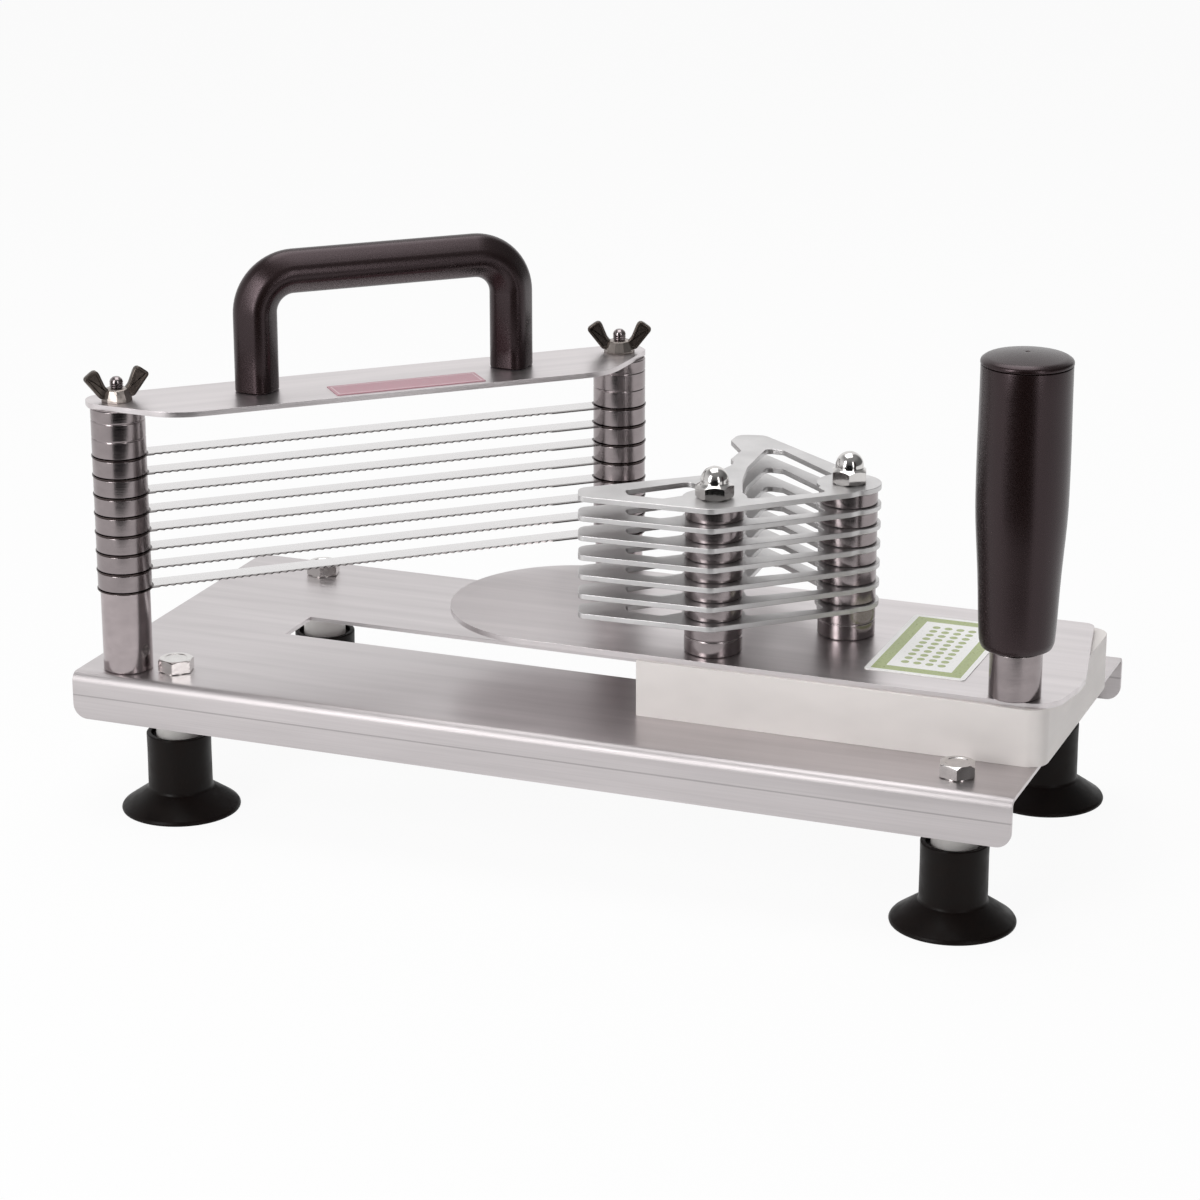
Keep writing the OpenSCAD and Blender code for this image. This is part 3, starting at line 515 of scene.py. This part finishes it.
def green_film(name, centre):
    """White vinyl film printed with an olive frame and rows of olive dots."""
    def fill(tree):
        along, across = in_label(tree, centre, 0.0)
        frame_line = math_node(tree, "SUBTRACT",
                               within(tree, along, across, *GREEN_FRAME_OUTER),
                               within(tree, along, across, *GREEN_FRAME_INNER))
        field = within(tree, along, across, *DOT_FIELD)
        offsets = [math_node(tree, "SUBTRACT", math_node(
            tree, "FRACT", math_node(tree, "DIVIDE", value, mm(DOT_PITCH))), 0.5)
            for value in (along, across)]
        squares = [math_node(tree, "MULTIPLY", o, o) for o in offsets]
        dots = math_node(tree, "LESS_THAN", math_node(tree, "ADD", *squares), DOT_SHARE ** 2)
        ink = grains(tree, (0.8, 0.8, 0.8), detail=3.0)
        green = colours().green_film
        olive = tint(tree, ink, shade(green, 0.86), shade(green, 1.08))
        printed = math_node(tree, "MAXIMUM", frame_line, math_node(tree, "MULTIPLY", field, dots))
        return {"Base Color": mixed(tree, printed, linear("#f4f3f1"), olive),
                "Roughness": spread(tree, ink, 0.26, 0.36), "IOR": 1.5,
                "Normal": bumped(tree, ink, 0.05, 0.03)}
    return finish(name, fill)


# Shapes


def keep(name, bm, materials, nodes, sharp=32, modifiers=()):
    """Makes the mesh a piece that stands for these CAD nodes and rides where they ride."""
    mesh = bpy.data.meshes.new(name)
    bm.to_mesh(mesh)
    bm.free()
    for material in materials:
        mesh.materials.append(material)
    mesh.shade_smooth()
    mesh.set_sharp_from_angle(angle=math.radians(sharp))
    piece = bpy.data.objects.new(name, mesh)
    bpy.context.scene.collection.objects.link(piece)
    for kind, settings in modifiers:
        modifier = piece.modifiers.new(kind.title(), kind)
        for key, value in settings.items():
            setattr(modifier, key, value)
    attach(piece, BODY_OF[nodes[0]])
    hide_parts(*nodes)
    return piece


def worked_copy(node, material, edge, segments=2):
    """A copy of a CAD node with its sharp outer edges rounded."""
    bm = bmesh.new()
    bm.from_mesh(NODES[node].data)
    bmesh.ops.remove_doubles(bm, verts=bm.verts, dist=mm(MERGE_COPIED))
    bmesh.ops.dissolve_limit(bm, angle_limit=FLAT_ANGLE, verts=bm.verts, edges=bm.edges,
                             use_dissolve_boundaries=False, delimit=set())
    outer = [e for e in bm.edges if len(e.link_faces) == 2
             and e.calc_face_angle_signed(0.0) > ROUNDED_ANGLE]
    bmesh.ops.bevel(bm, geom=outer, offset=edge, offset_type="OFFSET", affect="EDGES",
                    segments=segments, profile=0.5, material=-1, clamp_overlap=True,
                    loop_slide=True)
    return keep(node + "_finished", bm, [material], [node],
                modifiers=[("WEIGHTED_NORMAL", {"keep_sharp": True, "weight": 60})])


def show(node, material):
    """Shows the CAD node itself in this finish."""
    mesh = NODES[node].data
    mesh.materials.clear()
    mesh.materials.append(material)


def axis_of(node):
    """The middle of a CAD node, seen from above."""
    low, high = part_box(node)
    return Vector(((low.x + high.x) / 2, (low.y + high.y) / 2, 0.0))


def heights_of(node):
    """The bottom and the top of a CAD node, in millimetres."""
    low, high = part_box(node)
    return in_mm(low.z), in_mm(high.z)


def half_nut():
    """Half the width across the flats of bolt heads and cap nuts, in millimetres."""
    return in_mm(sizes().nut_width) / 2


def eased(rows):
    """The points of a profile, with its eased corners rounded."""
    made = []
    for i, row in enumerate(rows):
        here = Vector(row[:2])
        if len(row) == 2:
            made.append(here)
            continue
        before, after = Vector(rows[i - 1][:2]), Vector(rows[(i + 1) % len(rows)][:2])
        start = here + (before - here).normalized() * row[2]
        end = here + (after - here).normalized() * row[2]
        for k in range(EASE_STEPS + 1):
            t = k / EASE_STEPS
            made.append(start.lerp(here, t).lerp(here.lerp(end, t), t))
    return made


def turned(rows, closed=False, steps=TURN_STEPS):
    """A profile turned about the Z axis, as a closed bmesh."""
    bm = bmesh.new()
    rim = [bm.verts.new((mm(p.x), 0.0, mm(p.y))) for p in eased(rows)]
    pairs = list(zip(rim, rim[1:]))
    if closed:
        pairs.append((rim[-1], rim[0]))
    edges = [bm.edges.new(pair) for pair in pairs]
    bmesh.ops.spin(bm, geom=rim + edges, cent=(0, 0, 0), axis=(0, 0, 1), dvec=(0, 0, 0),
                   angle=math.tau, steps=steps, use_merge=True, use_duplicate=False,
                   use_normal_flip=False)
    bmesh.ops.remove_doubles(bm, verts=bm.verts, dist=mm(MERGE_TURNED))
    bmesh.ops.recalc_face_normals(bm, faces=bm.faces)
    return bm


def put(bm, place, turn=0.0):
    """Turns the mesh about Z and moves it to its place."""
    bmesh.ops.rotate(bm, verts=bm.verts, cent=(0, 0, 0), matrix=Matrix.Rotation(turn, 3, "Z"))
    bmesh.ops.translate(bm, verts=bm.verts, vec=place)
    return bm


def hexed(bm, half, low, high, edge, slope, both=False):
    """Turns the outermost rows between two heights into a hexagon, half its width across.

    The top rim falls from the radius edge outward by slope degrees, and with both the bottom
    rim rises in the same way. Lengths are in millimetres."""
    for vert in bm.verts:
        radius = math.hypot(vert.co.x, vert.co.y)
        height = in_mm(vert.co.z)
        if radius < mm(half - 0.1) or not low <= height <= high:
            continue
        angle = math.degrees(math.atan2(vert.co.y, vert.co.x)) % 60 - 30
        reach = mm(half) / math.cos(math.radians(angle))
        vert.co.x *= reach / radius
        vert.co.y *= reach / radius
        fall = (reach - mm(edge)) * math.tan(math.radians(slope))
        if height > (low + high) / 2:
            vert.co.z -= fall
        elif both:
            vert.co.z += fall
    return bm


# Pieces


def build_tray():
    # Painted shade: the tray is the same sheet as the bridge and the slide plate, painted 0.88
    # times as light
    worked_copy("base_tray", brushed_stainless("Brushed stainless tray", bend_line=True,
                                               level=0.88), sizes().sheet_edge)


def build_feet():
    rubber = moulded_rubber("Moulded black rubber")
    white = milled_polyethylene("Turned white sleeve", colours().sleeve)
    polish = polished_steel("Polished steel")
    half = half_nut()
    for foot in FEET:
        place = axis_of(foot + "_cup")
        keep(foot + "_suction_cup", put(turned(CUP_PROFILE), place), [rubber], [foot + "_cup"])
        worked_copy(foot + "_sleeve", white, mm(0.15))
        low, high = heights_of(foot + "_bolt")
        seat = high - BOLT_HEAD
        # Shank, washer face, flats and the shallow dish in the top
        bolt = turned([
            (0, low), (3.6, low), (4, low + 0.4), (4, seat), (half - 0.3, seat),
            (half - 0.3, seat + 0.35), (half, seat + 0.36), (half, high - 0.02),
            (half * 0.94, high, 0.12), (4.3, high, 0.15), (4.0, high - 0.3, 0.15),
            (0, high - 0.3)])
        hexed(bolt, half, seat + 0.3555, high - 0.015, half * 0.96, 30)
        keep(foot + "_hexagon_bolt", put(bolt, place, BOLT_TURN), [polish], [foot + "_bolt"])


def build_posts():
    # Painted highlight: the post is the rings' stainless painted 1.4 times lighter
    post = turned_stainless("Turned stainless post", shade(colours().rings, 1.4))
    rings = turned_stainless("Turned stainless rings", colours().rings)
    thread = turned_stainless("Threaded stainless stud", colours().rings, round_grooves=False)
    for side in ("front", "rear"):
        worked_copy(side + "_post", post, sizes().ring_edge)
        worked_copy(side + "_spacers", rings, sizes().ring_edge, 1)
        low, high = heights_of(side + "_stud")
        start = heights_of("bridge_plate")[1] - 1
        pitch = in_mm(sizes().thread_pitch)
        turns = int((high - 1.6 - start) / pitch)
        rows = [(0, low), (2.2, low), (STUD_RADIUS, low + 0.3), (STUD_RADIUS, start)]
        for i in range(turns):
            z = start + i * pitch
            rows += [(STUD_RADIUS, z + 0.15 * pitch), (THREAD_ROOT, z + 0.5 * pitch),
                     (STUD_RADIUS, z + 0.85 * pitch)]
        end = start + turns * pitch
        rows += [(STUD_RADIUS, end), (2.2, (end + high) / 2, 0.3), (1.2, high - 0.1, 0.4),
                 (0, high)]
        stud = put(turned(rows, steps=TURN_STEPS // 2), axis_of(side + "_stud"))
        keep(side + "_threaded_stud", stud, [thread], [side + "_stud"])
    worked_copy("stud_nuts", thread, sizes().screw_edge)
    blade = ground_blade("Ground blade steel")
    for k in range(1, BLADE_COUNT + 1):
        show(f"blade_{k}", blade)


def build_bridge():
    worked_copy("bridge_plate", brushed_stainless("Brushed stainless bridge", FRAME_ANGLE),
                sizes().sheet_edge)
    worked_copy("handle_screws", polished_steel("Polished steel"), sizes().screw_edge)


def build_carry_handle():
    low, high = heights_of("carry_handle")
    s = sizes()
    half = s.handle_span / 2
    side, edge = s.handle_side, s.handle_edge
    half_t = (side / 2 - edge) * math.sqrt(2) + edge
    bend = s.handle_corner - half_t
    leg = mm(high - low) - s.handle_corner
    bm = bmesh.new()
    # Square section on edge, with rounded corners
    section = bmesh.ops.create_circle(bm, cap_ends=True, segments=4, radius=side / math.sqrt(2))
    bmesh.ops.translate(bm, verts=section["verts"], vec=(-half, 0, 0))
    bmesh.ops.bevel(bm, geom=bm.verts[:], offset=edge, offset_type="OFFSET", affect="VERTICES",
                    segments=8, profile=0.5, material=-1)

    def face_of(geom):
        return [g for g in geom if isinstance(g, bmesh.types.BMFace)]

    def drawn(face, vec):
        made = face_of(bmesh.ops.extrude_face_region(bm, geom=face)["geom"])
        bmesh.ops.translate(bm, verts=made[0].verts[:], vec=vec)
        return made

    def bent(face, centre):
        return face_of(bmesh.ops.spin(
            bm, geom=face, cent=centre, axis=(0, 1, 0), dvec=(0, 0, 0), angle=math.pi / 2,
            steps=18, use_merge=False, use_duplicate=False)["geom_last"])

    face = drawn(bm.faces[:], (0, 0, leg))
    face = bent(face, (bend - half, 0, leg))
    face = drawn(face, (2 * (half - bend), 0, 0))
    face = bent(face, (half - bend, 0, leg))
    drawn(face, (0, 0, -leg))
    bmesh.ops.remove_doubles(bm, verts=bm.verts, dist=mm(MERGE_TURNED))
    inner = [f for f in bm.faces if all(len(e.link_faces) > 2 for e in f.edges)]
    bmesh.ops.delete(bm, geom=inner, context="FACES_ONLY")
    bmesh.ops.recalc_face_normals(bm, faces=bm.faces)
    feet = [e for e in bm.edges if all(abs(v.co.z) < mm(0.01) for v in e.verts)]
    bmesh.ops.bevel(bm, geom=feet, offset=mm(0.7), offset_type="OFFSET", affect="EDGES",
                    segments=3, profile=0.5, material=-1)
    place = axis_of("carry_handle") + Vector((0, 0, mm(low)))
    keep("carry_bail", put(bm, place, FRAME_ANGLE), [moulded_plastic("Moulded black nylon")],
         ["carry_handle"], 40)


def build_wing_nuts():
    casting = blackened_casting("Blackened cast steel", colours().bronze)
    # Painted highlight: the hubs get a lighter copy of the cast steel
    wear_and_highlight = blackened_casting("Cast steel with painted highlight", colours().wear_and_highlight)
    s = sizes()
    for side, turn in WING_NUT_TURNS.items():
        node = side + "_wing_nut"
        low = heights_of(node)[0]
        bm = turned(HUB_PROFILE, closed=True, steps=HUB_SIDES)
        hub = set(bm.faces)
        for face in hub:
            face.material_index = 1
        near = bm.faces.new([bm.verts.new((mm(p.x), -s.wing_thickness / 2, mm(p.y)))
                             for p in eased(WING_OUTLINE)])
        made = bmesh.ops.extrude_face_region(bm, geom=[near])["geom"]
        far = [g for g in made if isinstance(g, bmesh.types.BMFace)][0]
        bmesh.ops.translate(bm, verts=far.verts[:], vec=(0, s.wing_thickness, 0))
        bmesh.ops.recalc_face_normals(bm, faces=[f for f in bm.faces if f not in hub])
        rims = list(near.edges) + list(far.edges)
        bmesh.ops.inset_region(bm, faces=[near, far], thickness=mm(WING_RIM), depth=0.0,
                               use_even_offset=True)
        bmesh.ops.inset_region(bm, faces=[near, far], thickness=mm(WING_SLOPE),
                               depth=-s.wing_recess, use_even_offset=True)
        bmesh.ops.bevel(bm, geom=rims, offset=mm(WING_EDGE), offset_type="OFFSET", affect="EDGES",
                        segments=3, profile=0.5, material=-1, clamp_overlap=True)
        wing = [f for f in bm.faces if f not in hub]
        other = bmesh.ops.duplicate(bm, geom=wing)["geom"]
        bmesh.ops.rotate(bm, verts=[g for g in other if isinstance(g, bmesh.types.BMVert)],
                         cent=(0, 0, 0), matrix=Matrix.Rotation(math.pi, 3, "Z"))
        place = axis_of(side + "_post") + Vector((0, 0, mm(low)))
        keep(side + "_wing_casting", put(bm, place, FRAME_ANGLE + math.radians(turn)),
             [casting, wear_and_highlight], [node], 30)


def build_slide():
    white = milled_polyethylene("Milled white polyethylene", colours().block)
    worked_copy("slide_block", white, sizes().block_edge, 3)
    worked_copy("guide_key", white, mm(0.4))
    brushed = brushed_stainless("Brushed stainless slide")
    worked_copy("slide_plate", brushed, sizes().sheet_edge)
    worked_copy("retainer_plate", brushed, sizes().sheet_edge)
    worked_copy("retainer_screws", polished_steel("Polished steel"), sizes().screw_edge)


def build_pusher():
    satin = tumbled_stainless("Tumbled stainless")
    rings = turned_stainless("Turned stainless rings", colours().rings)
    plain = turned_stainless("Threaded stainless stud", colours().rings, round_grooves=False)
    polish = polished_steel("Polished steel")
    for k in range(1, PUSHER_COUNT + 1):
        worked_copy(f"pusher_plate_{k}", satin, sizes().pusher_edge, 3)
    half = half_nut()
    for side, turn in CAP_NUT_TURNS.items():
        worked_copy(side + "_pusher_rings", rings, sizes().ring_edge, 1)
        show(side + "_pusher_stud", plain)
        low, high = heights_of(side + "_cap_nut")
        foot = high - DOME_RADIUS
        # Hexagon, neck and dome
        rows = [(0, low), (half * 0.95, low), (half, low + 0.1), (half, low + 5.0),
                (DOME_RADIUS + 0.1, low + 5.6, 0.15), (DOME_RADIUS, low + 5.9),
                (DOME_RADIUS, foot)]
        rows += [(DOME_RADIUS * math.cos(a), foot + DOME_RADIUS * math.sin(a))
                 for a in [math.pi / 2 * k / DOME_STEPS for k in range(1, DOME_STEPS + 1)]]
        nut = hexed(turned(rows), half, low + 0.05, low + 5.05, half, 36, True)
        place = axis_of(side + "_cap_nut")
        keep(side + "_domed_nut", put(nut, place, FRAME_ANGLE + math.radians(turn)), [polish],
             [side + "_cap_nut"])
    worked_copy("pusher_lock_nuts", polish, sizes().screw_edge)


def build_grip():
    nylon = moulded_plastic("Moulded black nylon")
    low, high = heights_of("grip")
    tall = high - low
    rows = [(4.05, low), (10.1, low, 0.3), (12.3, low + 0.7, 0.6), (13.1, low + 2.8, 0.8)]
    rows += [(GRIP_RADIUS * share, low + tall * at) for at, share in GRIP_SIDE]
    rows += [(15.74, high, 0.25), (8.5, high), (8.5, high - 9), (4.05, high - 9)]
    keep("grip_body", put(turned(rows, closed=True), axis_of("grip")), [nylon], ["grip"], 40)
    base = heights_of("grip_cap")[0] + 2
    top = heights_of("grip_cap")[1]
    cap = [(0, base - 2), (8.4, base - 2), (8.4, base), (15.3, base), (15.5, base + 0.35, 0.1),
           (CAP_RADIUS, base + 0.4, 0.15), (CAP_RADIUS, base + 1.6, 0.7),
           (14.2, base + 2.75, 0.8)]
    # The top is slightly crowned, with a small pip in its middle
    cap += [(r, top - (top - base - 2.75) * (r / 14.2) ** 2) for r in (11, 8, 5, 2.5)]
    cap += [(0.9, top - 0.02, 0.1), (0.7, top - 0.22, 0.1), (0, top - 0.25)]
    keep("grip_closing_cap", put(turned(cap), axis_of("grip_cap")), [nylon], ["grip_cap"], 40)
    worked_copy("grip_collar", turned_stainless("Turned stainless rings", colours().rings),
                sizes().ring_edge)
    show("grip_spindle", turned_stainless("Threaded stainless stud", colours().rings,
                                          round_grooves=False))


def build_labels():
    show("bridge_label", red_film("Red printed film", axis_of("bridge_label")))
    show("slide_label", green_film("Green printed film", axis_of("slide_label")))


def softbox(name, place, target, size, power):
    """An area lamp, size = (width, height), that looks at a target."""
    lamp = bpy.data.lights.new(name, "AREA")
    lamp.shape = "RECTANGLE"
    lamp.size, lamp.size_y = size
    lamp.energy = power
    item = bpy.data.objects.new(name, lamp)
    item.location = place
    item.rotation_euler = (Vector(target) - Vector(place)).to_track_quat("-Z", "Y").to_euler()
    bpy.context.scene.collection.objects.link(item)


def staged(name, bm, material):
    """Makes the mesh a part of the stage."""
    mesh = bpy.data.meshes.new(name)
    bm.to_mesh(mesh)
    bm.free()
    mesh.materials.append(material)
    item = bpy.data.objects.new(name, mesh)
    bpy.context.scene.collection.objects.link(item)
    return item


def build_camera():
    scene = bpy.context.scene
    camera = bpy.data.cameras.new("Camera")
    camera.lens = CAMERA_LENS
    camera.sensor_width = CAMERA_SENSOR
    item = bpy.data.objects.new("Camera", camera)
    item.location = CAMERA_PLACE
    item.rotation_euler = [math.radians(turn) for turn in CAMERA_TURNS]
    scene.collection.objects.link(item)
    scene.camera = item


def build_floor():
    """A pale floor that is nearly white to the eye, and still takes soft shadows."""
    paint = blank("Pale floor")
    tree = paint.node_tree
    rays = add(tree, "LightPath")
    seen = math_node(tree, "MAXIMUM", rays.outputs["Is Camera Ray"], rays.outputs["Is Glossy Ray"])
    seen = math_node(tree, "MAXIMUM", seen, rays.outputs["Is Transmission Ray"])
    matt = add(tree, "BsdfDiffuse", {"Color": colours().floor})
    glow = add(tree, "Emission", {"Color": (1, 1, 1, 1), "Strength": 1.0})
    mix = add(tree, "MixShader", {0: math_node(tree, "MULTIPLY", seen, FLOOR_GLOW),
                                  1: matt.outputs[0], 2: glow.outputs[0]})
    add(tree, "OutputMaterial", {"Surface": mix.outputs[0]})
    bm = bmesh.new()
    bmesh.ops.create_grid(bm, x_segments=2, y_segments=2, size=FLOOR_HALF)
    staged("Floor", bm, paint)


def build_card():
    """A card under the camera's view: the dark band that round steel and plastic mirror."""
    felt = blank("Black felt")
    cloth = add(felt.node_tree, "BsdfDiffuse", {"Color": linear("#1a1a1a")})
    add(felt.node_tree, "OutputMaterial", {"Surface": cloth.outputs[0]})
    bm = bmesh.new()
    bm.faces.new([bm.verts.new(corner) for corner in CARD_CORNERS])
    staged("Black_card", bm, felt).visible_camera = False


def build_world():
    """A studio with a grey ceiling; behind the object hangs a white sheet."""
    world = bpy.data.worlds.new("Studio")
    world.use_nodes = True
    bpy.context.scene.world = world
    tree = world.node_tree
    tree.nodes.clear()
    rays = add(tree, "LightPath")
    sky = add(tree, "TexCoord")
    parts = add(tree, "SeparateXYZ", {"Vector": sky.outputs["Generated"]})
    azimuth = math_node(tree, "ARCTAN2", parts.outputs["Y"], parts.outputs["X"])
    share = math_node(tree, "MULTIPLY_ADD", azimuth, 1 / math.tau, 0.5)
    ramp = add(tree, "ValToRGB", {"Fac": share})
    elements = ramp.color_ramp.elements
    while len(elements) < len(HORIZON):
        elements.new(0.5)
    for element, (position, level) in zip(elements, HORIZON):
        element.position = position
        element.color = (level, level, level, 1.0)
    high = spread(tree, parts.outputs["Z"], 0.0, 1.0, *CEILING)
    around = mixed(tree, high, ramp.outputs["Color"],
                   (CEILING_LEVEL, CEILING_LEVEL, CEILING_LEVEL, 1.0))
    mirrored = math_node(tree, "MAXIMUM", rays.outputs["Is Glossy Ray"],
                         rays.outputs["Is Transmission Ray"])
    behind = math_node(tree, "COMPARE", azimuth, SHEET_DIRECTION, SHEET_HALF_WIDTH)
    sheet = math_node(tree, "MAXIMUM", rays.outputs["Is Camera Ray"],
                      math_node(tree, "MULTIPLY", mirrored, behind))
    colour = mixed(tree, sheet, around, (1.0, 1.0, 1.0, 1.0))
    backdrop = add(tree, "Background", {"Color": colour, "Strength": 1.0})
    add(tree, "OutputWorld", {"Surface": backdrop.outputs[0]})


def build_stage():
    bpy.context.scene.view_settings.view_transform = "Standard"
    build_camera()
    build_floor()
    build_card()
    build_world()
    for row in SOFTBOXES:
        softbox(*row)


class SLICER_OT_stage(bpy.types.Operator):
    """Makes the camera, floor, backdrop and lamps"""
    bl_idname = "slicer.stage"
    bl_label = "Stage"
    bl_options = {"REGISTER", "UNDO"}

    def execute(self, context):
        build_stage()
        return {"FINISHED"}


class SLICER_OT_tray(bpy.types.Operator):
    """Rounds and finishes the base tray"""
    bl_idname = "slicer.tray"
    bl_label = "Base tray"
    bl_options = {"REGISTER", "UNDO"}

    def execute(self, context):
        build_tray()
        return {"FINISHED"}


class SLICER_OT_feet(bpy.types.Operator):
    """Makes the suction cups, sleeves and bolts"""
    bl_idname = "slicer.feet"
    bl_label = "Feet"
    bl_options = {"REGISTER", "UNDO"}

    def execute(self, context):
        build_feet()
        return {"FINISHED"}


class SLICER_OT_posts(bpy.types.Operator):
    """Makes the posts, rings, studs and blades"""
    bl_idname = "slicer.posts"
    bl_label = "Posts and blades"
    bl_options = {"REGISTER", "UNDO"}

    def execute(self, context):
        build_posts()
        return {"FINISHED"}


class SLICER_OT_bridge(bpy.types.Operator):
    """Rounds and finishes the bridge plate"""
    bl_idname = "slicer.bridge"
    bl_label = "Bridge"
    bl_options = {"REGISTER", "UNDO"}

    def execute(self, context):
        build_bridge()
        return {"FINISHED"}


class SLICER_OT_carry_handle(bpy.types.Operator):
    """Bends the carry handle"""
    bl_idname = "slicer.carry_handle"
    bl_label = "Carry handle"
    bl_options = {"REGISTER", "UNDO"}

    def execute(self, context):
        build_carry_handle()
        return {"FINISHED"}


class SLICER_OT_wing_nuts(bpy.types.Operator):
    """Makes the two wing nuts"""
    bl_idname = "slicer.wing_nuts"
    bl_label = "Wing nuts"
    bl_options = {"REGISTER", "UNDO"}

    def execute(self, context):
        build_wing_nuts()
        return {"FINISHED"}


class SLICER_OT_slide(bpy.types.Operator):
    """Finishes the slide block, its plate and its guide"""
    bl_idname = "slicer.slide"
    bl_label = "Slide"
    bl_options = {"REGISTER", "UNDO"}

    def execute(self, context):
        build_slide()
        return {"FINISHED"}


class SLICER_OT_pusher(bpy.types.Operator):
    """Makes the pusher plates, rings and domed nuts"""
    bl_idname = "slicer.pusher"
    bl_label = "Pusher"
    bl_options = {"REGISTER", "UNDO"}

    def execute(self, context):
        build_pusher()
        return {"FINISHED"}


class SLICER_OT_grip(bpy.types.Operator):
    """Turns the push grip with its cap and collar"""
    bl_idname = "slicer.grip"
    bl_label = "Push grip"
    bl_options = {"REGISTER", "UNDO"}

    def execute(self, context):
        build_grip()
        return {"FINISHED"}


class SLICER_OT_labels(bpy.types.Operator):
    """Prints the two bare labels"""
    bl_idname = "slicer.labels"
    bl_label = "Labels"
    bl_options = {"REGISTER", "UNDO"}

    def execute(self, context):
        build_labels()
        return {"FINISHED"}


OPERATORS = [
    SLICER_OT_stage,
    SLICER_OT_tray,
    SLICER_OT_feet,
    SLICER_OT_posts,
    SLICER_OT_bridge,
    SLICER_OT_carry_handle,
    SLICER_OT_wing_nuts,
    SLICER_OT_slide,
    SLICER_OT_pusher,
    SLICER_OT_grip,
    SLICER_OT_labels,
]


class SLICER_PT_panel(bpy.types.Panel):
    """Sizes, colours and pieces of the slicer"""
    bl_idname = "SLICER_PT_panel"
    bl_label = "Tomato Slicer"
    bl_space_type = "VIEW_3D"
    bl_region_type = "UI"
    bl_category = "Slicer"

    def draw(self, context):
        layout = self.layout
        for group in (context.scene.slicer_sizes, context.scene.slicer_colours):
            for name in group.__annotations__:
                layout.prop(group, name)
        for made in OPERATORS:
            layout.operator(made.bl_idname)


CLASSES = [SlicerSizes, SlicerColours, *OPERATORS, SLICER_PT_panel]


def register():
    for made in CLASSES:
        bpy.utils.register_class(made)
    bpy.types.Scene.slicer_sizes = bpy.props.PointerProperty(type=SlicerSizes)
    bpy.types.Scene.slicer_colours = bpy.props.PointerProperty(type=SlicerColours)


def unregister():
    del bpy.types.Scene.slicer_colours
    del bpy.types.Scene.slicer_sizes
    for made in reversed(CLASSES):
        bpy.utils.unregister_class(made)


def main():
    register()
    bpy.ops.slicer.stage()
    bpy.ops.slicer.tray()
    bpy.ops.slicer.feet()
    bpy.ops.slicer.posts()
    bpy.ops.slicer.bridge()
    bpy.ops.slicer.carry_handle()
    bpy.ops.slicer.wing_nuts()
    bpy.ops.slicer.slide()
    bpy.ops.slicer.pusher()
    bpy.ops.slicer.grip()
    bpy.ops.slicer.labels()


if __name__ == "__main__":
    main()
